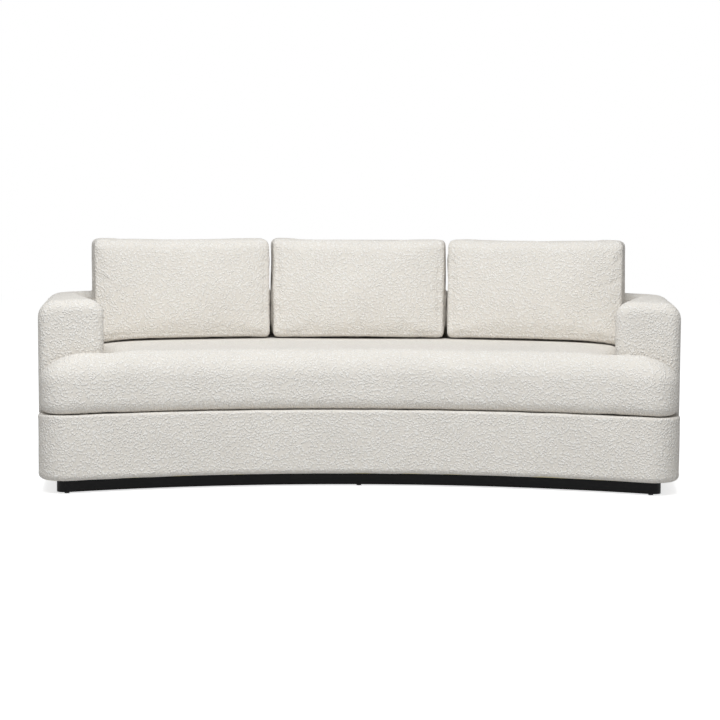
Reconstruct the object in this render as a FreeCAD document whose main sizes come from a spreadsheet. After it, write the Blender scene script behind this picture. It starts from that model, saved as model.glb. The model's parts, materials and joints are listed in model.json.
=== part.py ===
"""Curved three-seat sofa, in millimetres, +Z up, front towards -Y, origin at the bottom centre of its box.

In plan the front, the back and the rails are arcs about one centre line, which stands in front of the sofa.
An inset moves every outline inwards by the same amount and leaves the centres of its arcs where they are.
"""

import FreeCAD, Part
import math
import os

import Sketcher

from FreeCAD import Placement, Rotation, Vector

SIZES = [
    ("front_radius", 2444, "front face of the base, from the centre line"),
    ("half_width", 1092, "middle of the sofa to the outside of the front corner"),
    ("corner_radius", 90, "front corner of the base in plan"),
    ("side_splay", 7, "degrees that each outer side turns outwards"),
    ("rear_corner_radius", 240, "rear corner of the sofa in plan"),
    ("seat_depth", 590, "front of the seat to the back cushions"),
    ("back_cushion_depth", 185, "back cushion at its foot"),
    ("back_thickness", 125, "upholstered back"),
    ("arm_width", 222, "arm at its front"),
    ("arm_splay", 15, "degrees that each arm's inner face turns outwards"),
    ("arm_front_turn", 11, "degrees that each arm's front face turns inwards"),
    ("ear_depth", 105, "seat cushion in front of the arm"),
    ("inner_corner_radius", 58, "corner between arm and back"),
    ("outer_shoulder", 60, "rounding of the outer top edge of arms and back"),
    ("inner_shoulder", 52, "rounding of the inner top edge of arms and back"),
    ("arm_front_round", 40, "rounding round the arm's front face"),
    ("arm_height", 656, "floor to the top of arms and back"),
    ("plinth_height", 47.5, "floor to the top of the plinth"),
    ("plinth_recess", 61, "plinth behind the base"),
    ("plinth_thickness", 18, "plinth board"),
    ("glide_height", 4, "floor glide under the plinth"),
    ("glide_radius", 8.5, "floor glide"),
    ("base_top", 271, "floor to the top of the upholstered base"),
    ("base_foot_round", 20, "rounding of the base's lower edge"),
    ("base_top_round", 8, "rounding of the base's upper edge"),
    ("dust_cloth", 1.2, "cloth under the base"),
    ("cover_thickness", 4, "boucle with its backing"),
    ("foam_thickness", 22, "foam over the wooden frame"),
    ("soft_gap", 0.5, "clearance between soft layers"),
    ("rail_thickness", 24, "wooden rail"),
    ("deck_pad", 18, "felt and foam over the springs"),
    ("deck_cloth", 2, "cloth over the springs"),
    ("clip_height", 8, "spring clip"),
    ("clip_length", 20, "spring clip along the rail"),
    ("clip_depth", 14, "spring clip across the rail"),
    ("wire_radius", 1.9, "spring wire"),
    ("spring_width", 60, "zigzag spring from side to side"),
    ("spring_rail_height", 60, "rail that holds the rear ends of the springs"),
    ("spring_margin", 51, "outermost spring to the end of the back's bend"),
    ("cross_rail_margin", 248, "outermost cross rail to the end of the back's bend"),
    ("fit_gap", 0.1, "clearance between wooden pieces, and round a wire or screw"),
    ("upright_width", 60, "back upright along the back"),
    ("upright_depth", 30, "back upright from front to back"),
    ("upright_margin", 135, "outermost upright to the end of the back's bend"),
    ("top_rail_height", 24, "wooden rail on the uprights"),
    ("top_padding", 36, "padding over the top of the arms and back"),
    ("frame_headroom", 18, "wooden frame below the rounded padding"),
    ("strap_width", 50, "webbing strap"),
    ("strap_thickness", 2, "webbing strap"),
    ("panel_thickness", 18, "arm panel, stump and top board"),
    ("stump_margin", 45, "arm's side to the edge of its stump and top board"),
    ("screw_radius", 3, "shank of a frame screw"),
    ("screw_length", 40, "frame screw under its head"),
    ("screw_head_radius", 6, "head of a frame screw"),
    ("screw_head_height", 4, "head of a frame screw"),
    ("seat_proud", 6, "seat cushion beyond the base"),
    ("seat_top", 481, "floor to the crown of the seat cushion"),
    ("seat_foot_round", 42, "rolled lower edge of the seat cushion"),
    ("seat_side_share", 0.2, "part of that roll beside the arms and back"),
    ("seat_ear_round", 9, "corners of the seat cushion beside the arms in plan"),
    ("seat_crown_rise", 92, "top of the seat cushion above its upright sides"),
    ("seat_front_run", 95, "depth over which the front edge rises to the crown"),
    ("seat_end_run", 190, "length over which each end rises to the crown"),
    ("seat_side_run", 60, "depth over which the back and the arm sides rise to the crown"),
    ("seat_ear_run", 8, "depth over which the ears rise in front of the arms"),
    ("cushion_gap", 3, "clearance beside a loose cushion"),
    ("seat_core_margin", 30, "seat cushion's side to its foam core"),
    ("back_cushion_top", 862, "floor to the top of the back cushions"),
    ("back_cushion_lean", 45, "back cushion's top thinner than its foot"),
    ("back_cushion_crown", 26, "swell of a back cushion's front"),
    ("back_cushion_round", 26, "rolled upper and lower edges of a back cushion"),
    ("back_cushion_corner", 28, "rounding of a back cushion's corners in plan"),
    ("back_cushion_draw", 6, "sides of a back cushion drawn in between their corners"),
]
WORKED_OUT = [
    ("back_inside", "=front_radius + seat_depth + back_cushion_depth"),
    ("back_outside", "=back_inside + back_thickness"),
    ("layer", "=cover_thickness + soft_gap"),
    ("frame_inset", "=layer + foam_thickness + soft_gap"),
    ("frame_inner", "=frame_inset + rail_thickness"),
    ("base_bottom", "=plinth_height + dust_cloth"),
    ("plinth_board_height", "=plinth_height - glide_height"),
    ("cloth_bottom", "=base_top - layer - deck_pad - soft_gap - deck_cloth"),
    ("rail_top", "=cloth_bottom - soft_gap - clip_height"),
    ("rail_height", "=rail_top - base_bottom"),
    ("cross_rail_height", "=rail_height - spring_rail_height"),
    ("cavity_top", "=arm_height - top_padding"),
    ("frame_top", "=cavity_top - frame_headroom"),
    ("front_rail_radius", "=front_radius + frame_inset"),
    ("back_rail_radius", "=back_outside - frame_inner"),
    ("upright_radius", "=back_rail_radius - upright_depth"),
    ("upright_height", "=frame_top - top_rail_height - base_bottom"),
    ("strap_radius", "=upright_radius - soft_gap - strap_thickness"),
    ("front_corner_board_radius", "=corner_radius - frame_inner"),
    ("rear_corner_board_radius", "=rear_corner_radius - frame_inner"),
    ("panel_height", "=frame_top - panel_thickness - base_bottom"),
    ("stump_height", "=frame_top - panel_thickness - rail_top"),
    ("seat_bottom", "=base_top + soft_gap"),
    ("seat_corner_radius", "=corner_radius + seat_proud - seat_ear_round"),
    ("back_cushion_bottom", "=seat_top + soft_gap"),
]
SPRINGS = 7
SPRING_BENDS = 22
CROSS_RAILS = {"left": -1, "middle": 0, "right": 1}
UPRIGHTS = {"outer_left": -1, "inner_left": -1 / 3, "inner_right": 1 / 3, "outer_right": 1}
STRAPS = {"lower": 1, "middle": 2, "upper": 3}
PANEL_SCREWS = 3
UPRIGHT_SCREW_LEVELS = (1 / 4, 3 / 4)
PLINTH_CROSS_SHARE = 1 / 2
BACK_SLABS = 6
CORNER_SLABS = 3
EDGE_SHARES = (0.02, 0.5, 0.98)
SEAT_ROLL_ANGLES = (20, 50, 90)
SEAT_CROWN_ANGLES = (0, 25, 48, 70)
BACK_CUSHION_ROLL_ANGLES = (15, 50, 90)
BACK_CUSHION_SIDE_SHARES = (0.25, 0.5, 0.75)

doc = FreeCAD.newDocument("curved_sofa")
sheet = doc.addObject("Spreadsheet::Sheet", "Sizes")
for row, (alias, value, meaning) in enumerate(SIZES, start=1):
    sheet.set(f"A{row}", alias)
    sheet.set(f"B{row}", str(value))
    sheet.set(f"C{row}", meaning)
    sheet.setAlias(f"B{row}", alias)
for row, (alias, formula) in enumerate(WORKED_OUT, start=len(SIZES) + 1):
    sheet.set(f"A{row}", alias)
    sheet.set(f"B{row}", formula)
    sheet.setAlias(f"B{row}", alias)
doc.recompute()


class Values:
    """The sheet's numbers, read by their names."""

    def __getattr__(self, alias):
        return float(sheet.get(alias))


size = Values()
nodes = []


def keep(thing, label):
    """Name a sub-part, and list it for export."""
    thing.Label = label
    nodes.append(thing)
    return thing


def solid_node(label, shape):
    """Make a sub-part from a shape that is worked out from the sheet."""
    thing = doc.addObject("Part::Feature", label)
    thing.Shape = shape
    return keep(thing, label)


def turned(vector, degrees):
    """Turn a plan vector about the vertical."""
    return Rotation(Vector(0, 0, 1), degrees).multVec(vector)


def mirrored(point):
    """Mirror a point from the right side to the left."""
    return Vector(-point.x, point.y, point.z)


side_out = turned(Vector(1, 0, 0), -size.side_splay)
side_back = turned(Vector(0, 1, 0), -size.side_splay)
arm_out = turned(Vector(1, 0, 0), -size.arm_splay)
arm_back = turned(Vector(0, 1, 0), -size.arm_splay)
arm_face_in = turned(Vector(-1, 0, 0), -size.arm_front_turn)
arm_face_out = turned(Vector(0, -1, 0), -size.arm_front_turn)


def at_reach(start, along, reach):
    """Give the point of a line, forwards from its start, that lies at a distance from the zero point."""
    ahead = start.dot(along)
    return start + along * (-ahead + math.sqrt(ahead ** 2 - start.dot(start) + reach ** 2))


def on_line_at_reach(start, along, reach):
    """Give the point of a line, forwards from its start, that lies at a distance from the centre line."""
    return centre + at_reach(start - centre, along, reach)


def crossing(start, along, wall_point, wall_out):
    """Give the point where a line meets a plane wall."""
    return start + along * ((wall_point - start).dot(wall_out) / along.dot(wall_out))


# From the centre line: each corner touches the front and the side, and the seat cushion reaches furthest out
corner_x = size.half_width - size.corner_radius
corner_reach = size.front_radius + size.corner_radius
corner_from_centre = Vector(corner_x, math.sqrt(corner_reach ** 2 - corner_x ** 2), 0)
seat_corner_from_centre = at_reach(
    corner_from_centre + side_out * (size.corner_radius + size.seat_proud - size.seat_corner_radius),
    side_back,
    size.front_radius - size.seat_proud + size.seat_corner_radius,
)
front_reach = seat_corner_from_centre.y - size.seat_corner_radius
centre = Vector(0, -(front_reach + size.back_outside) / 2, 0)
front_corner = centre + corner_from_centre
rear_corner = on_line_at_reach(
    front_corner + side_out * (size.corner_radius - size.rear_corner_radius),
    side_back,
    size.back_outside - size.rear_corner_radius,
)
arm_face_point = Vector(size.half_width, centre.y + front_reach + size.ear_depth, 0)
arm_inner_point = crossing(
    Vector(size.half_width - size.arm_width, 0, 0), Vector(0, 1, 0), arm_face_point, arm_face_out
)
inner_corner = on_line_at_reach(
    arm_inner_point - arm_out * size.inner_corner_radius,
    arm_back,
    size.back_inside - size.inner_corner_radius,
)


def towards(point):
    """Give the direction from the centre line to a point."""
    return (point - centre).normalize()


def arc(start, middle, end):
    """Draw a round stretch about a middle, shorter than a half circle."""
    bisector = ((start - middle).normalize() + (end - middle).normalize()).normalize()
    return Part.Arc(start, middle + bisector * start.distanceToPoint(middle), end).toShape()


def line(start, end):
    """Draw a straight stretch."""
    return Part.LineSegment(start, end).toShape()


def at_height(edges, height):
    """Close edges into a wire and lift it."""
    wire = Part.Wire(Part.sortEdges(edges)[0])
    wire.translate(Vector(0, 0, height))
    return wire


def prism(edges, bottom, top):
    """Stand a closed outline up between two heights."""
    return Part.Face(at_height(edges, bottom)).extrude(Vector(0, 0, top - bottom))


def both_sides(right):
    """Give stretches of the right side and their mirror images."""
    return right + [edge.mirror(Vector(0, 0, 0), Vector(1, 0, 0)) for edge in right]


def base_outline(inset):
    """Draw the outline of the base in plan."""
    front_end = centre + towards(front_corner) * (size.front_radius + inset)
    side_start = front_corner + side_out * (size.corner_radius - inset)
    side_end = rear_corner + side_out * (size.rear_corner_radius - inset)
    back_end = centre + towards(rear_corner) * (size.back_outside - inset)
    right = [
        arc(front_end, front_corner, side_start),
        line(side_start, side_end),
        arc(side_end, rear_corner, back_end),
    ]
    arcs = [arc(mirrored(front_end), centre, front_end), arc(back_end, centre, mirrored(back_end))]
    return both_sides(right) + arcs


def arm_and_back_outline(inset):
    """Draw the outline of the arms and back in plan, open towards the seat."""
    face = arm_face_point - arm_face_out * inset
    side = front_corner + side_out * (size.corner_radius - inset)
    inner = arm_inner_point + arm_out * inset
    outer_front = crossing(side, side_back, face, arm_face_out)
    inner_front = crossing(inner, arm_back, face, arm_face_out)
    side_end = rear_corner + side_out * (size.rear_corner_radius - inset)
    back_end = centre + towards(rear_corner) * (size.back_outside - inset)
    inner_end = inner_corner + arm_out * (size.inner_corner_radius + inset)
    inside_end = centre + towards(inner_corner) * (size.back_inside + inset)
    right = [
        line(inner_front, outer_front),
        line(outer_front, side_end),
        arc(side_end, rear_corner, back_end),
        arc(inside_end, inner_corner, inner_end),
        line(inner_end, inner_front),
    ]
    arcs = [arc(mirrored(inside_end), centre, inside_end), arc(back_end, centre, mirrored(back_end))]
    return both_sides(right) + arcs


def edges_at(shape, height, wanted):
    """Give the edges that lie flat at a height and whose middle passes a test."""
    found = []
    for edge in shape.Edges:
        middle = edge.valueAt((edge.FirstParameter + edge.LastParameter) / 2)
        level = edge.BoundBox.ZLength < 0.001 and abs(middle.z - height) < 0.001
        if level and wanted(middle):
            found.append(edge)
    return found


def base_form(inset):
    """Give the rounded body of the base."""
    top = size.base_top - inset
    form = prism(base_outline(inset), size.base_bottom, top)
    foot = edges_at(form, size.base_bottom, lambda middle: True)
    form = form.makeFillet(size.base_foot_round - inset, foot)
    round_top = size.base_top_round - inset
    if round_top > 0:
        form = form.makeFillet(round_top, edges_at(form, top, lambda middle: True))
    return form


def is_arm_front(middle):
    """Tell whether a point lies on the front face of either arm."""
    right = Vector(abs(middle.x), middle.y, 0)
    return abs((right - arm_face_point).dot(arm_face_out)) < size.arm_front_round


def lies_on_arm_front(edge, inset):
    """Tell whether an edge lies all along in the front face of either arm."""
    span = edge.LastParameter - edge.FirstParameter
    for share in EDGE_SHARES:
        point = edge.valueAt(edge.FirstParameter + share * span)
        right = Vector(abs(point.x), point.y, 0)
        if abs((right - arm_face_point).dot(arm_face_out) + inset) > 0.01:
            return False
    return True


def is_inner(middle, inset):
    """Tell whether a point lies on the side of the arms and back that faces the seat."""
    right = Vector(abs(middle.x), middle.y, 0)
    beside_arm = (right - arm_inner_point).dot(arm_out) < inset + 1
    return beside_arm and right.distanceToPoint(centre) < size.back_inside + inset + 1


def arm_and_back_form(inset, bottom, top):
    """Give the rounded body of the arms and back."""
    form = prism(arm_and_back_outline(inset), bottom, top)
    rounds = [
        (size.outer_shoulder, lambda middle: not is_arm_front(middle) and not is_inner(middle, inset)),
        (size.inner_shoulder, lambda middle: not is_arm_front(middle) and is_inner(middle, inset)),
    ]
    for radius, wanted in rounds:
        form = form.makeFillet(radius - inset, edges_at(form, top, wanted))
    front = [edge for edge in form.Edges if lies_on_arm_front(edge, inset)]
    above_foot = [edge for edge in front if edge.BoundBox.ZMax > bottom + 1]
    return form.makeFillet(size.arm_front_round - inset, above_foot)


def arc_board(label, radius, thickness, height, bottom, start, sweep, middle=centre):
    """Make a board bent to an arc.

    The radius, thickness and height are names in the sheet, start and sweep are degrees from +X.
    """
    walls = []
    faces = (("outer", f"Sizes.{radius} + Sizes.{thickness}", sweep), ("inner", f"Sizes.{radius}", 360))
    for part, reach, angle in faces:
        wall = doc.addObject("Part::Cylinder", f"{label}_{part}")
        wall.setExpression("Radius", reach)
        wall.setExpression("Height", f"Sizes.{height}")
        wall.Angle = angle
        wall.Placement = Placement(middle + Vector(0, 0, bottom), Rotation(Vector(0, 0, 1), start))
        walls.append(wall)
    board = doc.addObject("Part::Cut", label)
    board.Base, board.Tool = walls
    return board


def wall_board(label, corner, along, length, thickness, height, bottom):
    """Make a straight board that stands along a plan direction, with its thickness to the left of it."""
    board = doc.addObject("Part::Box", label)
    board.Length = length
    board.setExpression("Width", f"Sizes.{thickness}")
    board.setExpression("Height", f"Sizes.{height}")
    turn = math.degrees(math.atan2(along.y, along.x))
    board.Placement = Placement(corner + Vector(0, 0, bottom), Rotation(Vector(0, 0, 1), turn))
    return board


def radial_board(label, degrees, inner, outer, thickness, height, bottom):
    """Make a straight board from one arc to another, at an angle to the right of the middle."""
    along = turned(Vector(0, 1, 0), -degrees)
    aside = turned(along, -90) * (float(sheet.get(thickness)) / 2)
    start = centre + along * (inner + size.fit_gap)
    length = outer - inner - 2 * size.fit_gap
    return wall_board(label, start + aside, along, length, thickness, height, bottom)


def plan_board(label, corners, height, bottom):
    """Make a board of straight sides from a sketch of its plan."""
    body = doc.addObject("PartDesign::Body", label)
    sketch = body.newObject("Sketcher::SketchObject", f"{label}_plan")
    plane = [feature for feature in body.Origin.OriginFeatures if feature.Role == "XY_Plane"][0]
    sketch.AttachmentSupport = [(plane, "")]
    sketch.MapMode = "FlatFace"
    for start, end in zip(corners, corners[1:] + corners[:1]):
        sketch.addGeometry(Part.LineSegment(start, end), False)
    count = len(corners)
    for index in range(count):
        sketch.addConstraint(Sketcher.Constraint("Coincident", index, 2, (index + 1) % count, 1))
    pad = body.newObject("PartDesign::Pad", f"{label}_pad")
    pad.Profile = sketch
    pad.setExpression("Length", f"Sizes.{height}")
    body.Placement = Placement(Vector(0, 0, bottom), Rotation())
    return body


def drilled(label, board, holes):
    """Cut screw holes into a board."""
    result = doc.addObject("Part::Cut", label)
    result.Base = board
    result.Tool = holes
    return keep(result, label)


def group(label, things):
    """Join identical separate pieces under one name."""
    result = doc.addObject("Part::Compound", label)
    result.Links = things
    return keep(result, label)


def angle_of(point):
    """Give the degrees to the right of the middle at which a point is seen from the centre line."""
    return math.degrees(math.atan2(point.x, point.y - centre.y))


def polar(reach, degrees, height=0):
    """Give a point by its distance from the centre line and its degrees to the right of the middle."""
    return centre + turned(Vector(0, reach, 0), -degrees) + Vector(0, 0, height)


def split_sides(start, end, depth, shape):
    """Cut a shape into its right side, its left side and the rest, by two lines square to the side."""
    out = side_out * size.arm_width
    inwards = side_out * -depth
    corners = [start + out, end + out, end + inwards, start + inwards]
    low = shape.BoundBox.ZMin - 1
    edges = [line(a, b) for a, b in zip(corners, corners[1:] + corners[:1])]
    right_tool = prism(edges, low, shape.BoundBox.ZMax + 1)
    left_tool = right_tool.mirror(Vector(0, 0, 0), Vector(1, 0, 0))
    rest = shape.cut(Part.makeCompound([right_tool, left_tool]))
    return shape.common(right_tool), shape.common(left_tool), rest


side_start = front_corner + side_out * size.corner_radius
side_end = rear_corner + side_out * size.rear_corner_radius
side_length = (side_end - side_start).Length
front_angle = angle_of(front_corner)
rear_angle = angle_of(rear_corner)


def last_degrees(margin):
    """Give the degrees to the right of the middle at a distance before the end of the back's bend."""
    return rear_angle - math.degrees(margin / size.back_inside)


last_spring = last_degrees(size.spring_margin)
last_cross_rail = last_degrees(size.cross_rail_margin)
last_upright = last_degrees(size.upright_margin)


def make_plinth():
    """The black plinth: two side boards, bent front and back boards, two cross boards and the glides."""
    outer = prism(base_outline(size.plinth_recess), size.glide_height, size.plinth_height)
    inner_inset = size.plinth_recess + size.plinth_thickness
    inner = prism(base_outline(inner_inset), size.glide_height - 1, size.plinth_height + 1)
    right, left, rest = split_sides(side_start, side_end, 2 * inner_inset, outer.cut(inner))
    front, back = sorted(rest.Solids, key=lambda solid: solid.CenterOfMass.y)
    boards = {"front": front, "back": back, "left": left.Solids[0], "right": right.Solids[0]}
    for label, shape in boards.items():
        solid_node(f"plinth_{label}_board", shape)
    for label, side in (("left", -1), ("right", 1)):
        board = radial_board(
            f"plinth_cross_board_{label}",
            side * last_cross_rail * PLINTH_CROSS_SHARE,
            size.front_radius + inner_inset,
            size.back_outside - inner_inset,
            "plinth_thickness",
            "plinth_board_height",
            size.glide_height,
        )
        keep(board, board.Label)
    glides = []
    middle = size.plinth_recess + size.plinth_thickness / 2
    for row, reach, spread in (
        ("front", size.front_radius + middle, front_angle),
        ("back", size.back_outside - middle, rear_angle),
    ):
        for index, side in enumerate((-1, 0, 1)):
            glide = doc.addObject("Part::Cylinder", f"glide_{row}_{index}")
            glide.setExpression("Radius", "Sizes.glide_radius")
            glide.setExpression("Height", "Sizes.glide_height")
            glide.Placement = Placement(polar(reach, side * spread), Rotation())
            glides.append(glide)
    group("floor_glides", glides)


def screw_lines():
    """Give the place under each frame screw's head and the direction that it points in."""
    lines = []
    for share in UPRIGHTS.values():
        degrees = share * last_upright
        for level in UPRIGHT_SCREW_LEVELS:
            height = size.base_bottom + level * size.rail_height
            under_head = size.upright_radius - size.fit_gap
            lines.append((polar(under_head, degrees, height), turned(Vector(0, 1, 0), -degrees)))
    start, length = panel_span()
    for index in range(PANEL_SCREWS):
        along = (index + 0.5) / PANEL_SCREWS * length
        place = start + side_back * along - side_out * size.panel_thickness
        place += Vector(0, 0, size.base_bottom + size.rail_height / 2)
        lines.append((place, side_out))
        lines.append((mirrored(place), mirrored(side_out)))
    return lines


def panel_span():
    """Give the outer front corner of the right arm's panel and the panel's length."""
    behind_stump = size.frame_inset + size.panel_thickness + size.fit_gap
    inner_side = side_start - side_out * (size.frame_inner + size.panel_thickness)
    inner_start = crossing(inner_side, side_back, arm_face_point - arm_face_out * behind_stump, arm_face_out)
    start = inner_start + side_out * size.panel_thickness
    return start, (side_end - start).dot(side_back)


def make_screws():
    """The frame screws, and the holes that they sit in."""
    screws = []
    holes = []
    for place, along in screw_lines():
        shank = Part.makeCylinder(size.screw_radius, size.screw_length, place, along)
        head_start = place - along * size.screw_head_height
        head = Part.makeCylinder(size.screw_head_radius, size.screw_head_height, head_start, along)
        screws.append(shank.fuse(head).removeSplitter())
        hole_length = size.screw_length + 2 * size.fit_gap
        hole_start = place - along * size.fit_gap
        holes.append(Part.makeCylinder(size.screw_radius + size.fit_gap, hole_length, hole_start, along))
    solid_node("frame_screws", Part.makeCompound(screws))
    tool = doc.addObject("Part::Feature", "screw_holes")
    tool.Shape = Part.makeCompound(holes)
    return tool


def make_base_frame(holes):
    """The ring of rails and corner boards, the cross rails and the rail behind the springs."""
    bottom = size.base_bottom
    rail = ("rail_thickness", "rail_height", bottom)
    front = arc_board("base_front_rail", "front_rail_radius", *rail, 90 - front_angle, 2 * front_angle)
    keep(front, "base_front_rail")
    back = arc_board("back_rail_board", "back_rail_radius", *rail, 90 - rear_angle, 2 * rear_angle)
    drilled("base_back_rail", back, holes)
    corners = (
        ("front", front_corner, -90 - front_angle, -size.side_splay),
        ("rear", rear_corner, -size.side_splay, 90 - rear_angle),
    )
    for label, middle, start, end in corners:
        radius = f"{label}_corner_board_radius"
        sweep = end - start
        right = arc_board(f"{label}_corner_board_right", radius, *rail, start, sweep, middle)
        left = arc_board(f"{label}_corner_board_left", radius, *rail, 180 - end, sweep, mirrored(middle))
        keep(right, right.Label)
        keep(left, left.Label)
    outer = side_start - side_out * size.frame_inset
    inner = side_start - side_out * size.frame_inner
    right = wall_board("side_rail_board_right", outer, side_back, side_length, *rail)
    left = wall_board("side_rail_board_left", mirrored(inner), mirrored(side_back), side_length, *rail)
    drilled("base_right_rail", right, holes)
    drilled("base_left_rail", left, holes)
    for label, side in CROSS_RAILS.items():
        board = radial_board(
            f"cross_rail_{label}",
            side * last_cross_rail,
            size.front_rail_radius + size.rail_thickness,
            size.back_rail_radius,
            "rail_thickness",
            "cross_rail_height",
            bottom,
        )
        keep(board, board.Label)
    inside = prism(base_outline(size.frame_inner + size.fit_gap), bottom, size.rail_top)
    low = size.rail_top - size.spring_rail_height
    outer = Part.makeCylinder(size.back_inside, size.spring_rail_height, centre + Vector(0, 0, low))
    inner_reach = size.back_inside - size.rail_thickness
    inner = Part.makeCylinder(inner_reach, size.rail_height, centre + Vector(0, 0, bottom))
    solid_node("spring_rail", outer.cut(inner).common(inside))


def spring_wire(front_reach, back_reach):
    """Give a zigzag spring along +Y, its bends two quarter turns each."""
    bend = (back_reach - front_reach) / SPRING_BENDS / 2
    run = size.spring_width / 2 - size.wire_radius - bend
    edges = [line(Vector(-run, front_reach, 0), Vector(run, front_reach, 0))]
    for index in range(SPRING_BENDS):
        side = 1 if index % 2 == 0 else -1
        level = front_reach + 2 * bend * index
        middle = Vector(side * run, level + bend, 0)
        tip = middle + Vector(side * bend, 0, 0)
        edges.append(arc(Vector(side * run, level, 0), middle, tip))
        edges.append(arc(tip, middle, Vector(side * run, level + 2 * bend, 0)))
        edges.append(line(Vector(side * run, level + 2 * bend, 0), Vector(-side * run, level + 2 * bend, 0)))
    section = Part.Wire(Part.makeCircle(size.wire_radius, Vector(-run, front_reach, 0), Vector(1, 0, 0)))
    return Part.Wire(edges).makePipeShell([section], True, False)


def make_suspension():
    """The zigzag springs, their clips, and the cloth and pad over them."""
    front_reach = size.front_rail_radius + size.rail_thickness / 2
    back_reach = size.back_inside - size.rail_thickness / 2
    level = size.rail_top + size.clip_height / 2
    wire = spring_wire(front_reach, back_reach)
    clip = Part.makeBox(size.clip_length, size.clip_depth, size.clip_height)
    clip.translate(Vector(-size.clip_length / 2, -size.clip_depth / 2, -size.clip_height / 2))
    bore_start = Vector(-size.clip_length, 0, 0)
    bore_radius = size.wire_radius + size.fit_gap
    clip = clip.cut(Part.makeCylinder(bore_radius, 2 * size.clip_length, bore_start, Vector(1, 0, 0)))
    springs = []
    clips = []
    for index in range(SPRINGS):
        turn = Rotation(Vector(0, 0, 1), last_spring * (1 - 2 * index / (SPRINGS - 1)))
        place = Placement(centre + Vector(0, 0, level), turn)
        spring = wire.copy()
        spring.Placement = place
        springs.append(spring)
        for reach in (front_reach, back_reach):
            piece = clip.copy()
            piece.Placement = place * Placement(Vector(0, reach, 0), Rotation())
            clips.append(piece)
    solid_node("seat_springs", Part.makeCompound(springs))
    solid_node("spring_clips", Part.makeCompound(clips))
    footprint = prism(arm_and_back_outline(size.layer), size.rail_top, size.base_top)
    cloth_top = size.cloth_bottom + size.deck_cloth
    cloth = prism(base_outline(size.frame_inset), size.cloth_bottom, cloth_top)
    solid_node("spring_cloth", cloth.cut(footprint))
    pad_bottom = cloth_top + size.soft_gap
    pad = prism(base_outline(size.frame_inset), pad_bottom, pad_bottom + size.deck_pad)
    solid_node("deck_pad", pad.cut(footprint))


def make_base_upholstery():
    """The base's foam and cover, open where the arms and back stand on the rails, and the cloth below."""
    foam = base_form(size.layer).cut(
        prism(base_outline(size.frame_inset - size.soft_gap), size.base_bottom - 1, size.base_top + 1)
    )
    solid_node("base_foam", foam)
    inner = base_form(size.cover_thickness)
    cover = base_form(0).cut(inner)
    cavity = prism(arm_and_back_outline(size.frame_inset), size.rail_top, size.base_top + 1)
    solid_node("base_cover", cover.cut(cavity))
    dust = prism(base_outline(size.frame_inset), size.plinth_height, size.base_bottom)
    solid_node("dust_cloth", dust)


def slab_cut(start, along, length):
    """Give the thin upright cut between two slabs of foam, along a plan direction."""
    aside = turned(along, 90) * (size.soft_gap / 2)
    end = start + along * length
    corners = [start - aside, end - aside, end + aside, start + aside]
    edges = [line(a, b) for a, b in zip(corners, corners[1:] + corners[:1])]
    return prism(edges, size.base_top, size.arm_height)


def slab_cuts():
    """Give the cuts between the slabs: square to the back's arc, and fanned round each rear corner."""
    last = angle_of(inner_corner)
    cuts = []
    for index in range(BACK_SLABS + 1):
        degrees = last * (2 * index / BACK_SLABS - 1)
        along = turned(Vector(0, 1, 0), -degrees)
        cuts.append(slab_cut(polar(size.back_inside, degrees), along, size.back_thickness))
    first_turn = -size.arm_splay
    last_turn = 90 - last
    for index in range(1, CORNER_SLABS):
        turn = first_turn + (last_turn - first_turn) * index / CORNER_SLABS
        right = slab_cut(inner_corner, turned(Vector(1, 0, 0), turn), size.rear_corner_radius)
        cuts += [right, right.mirror(Vector(0, 0, 0), Vector(1, 0, 0))]
    return Part.makeCompound(cuts)


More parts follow.
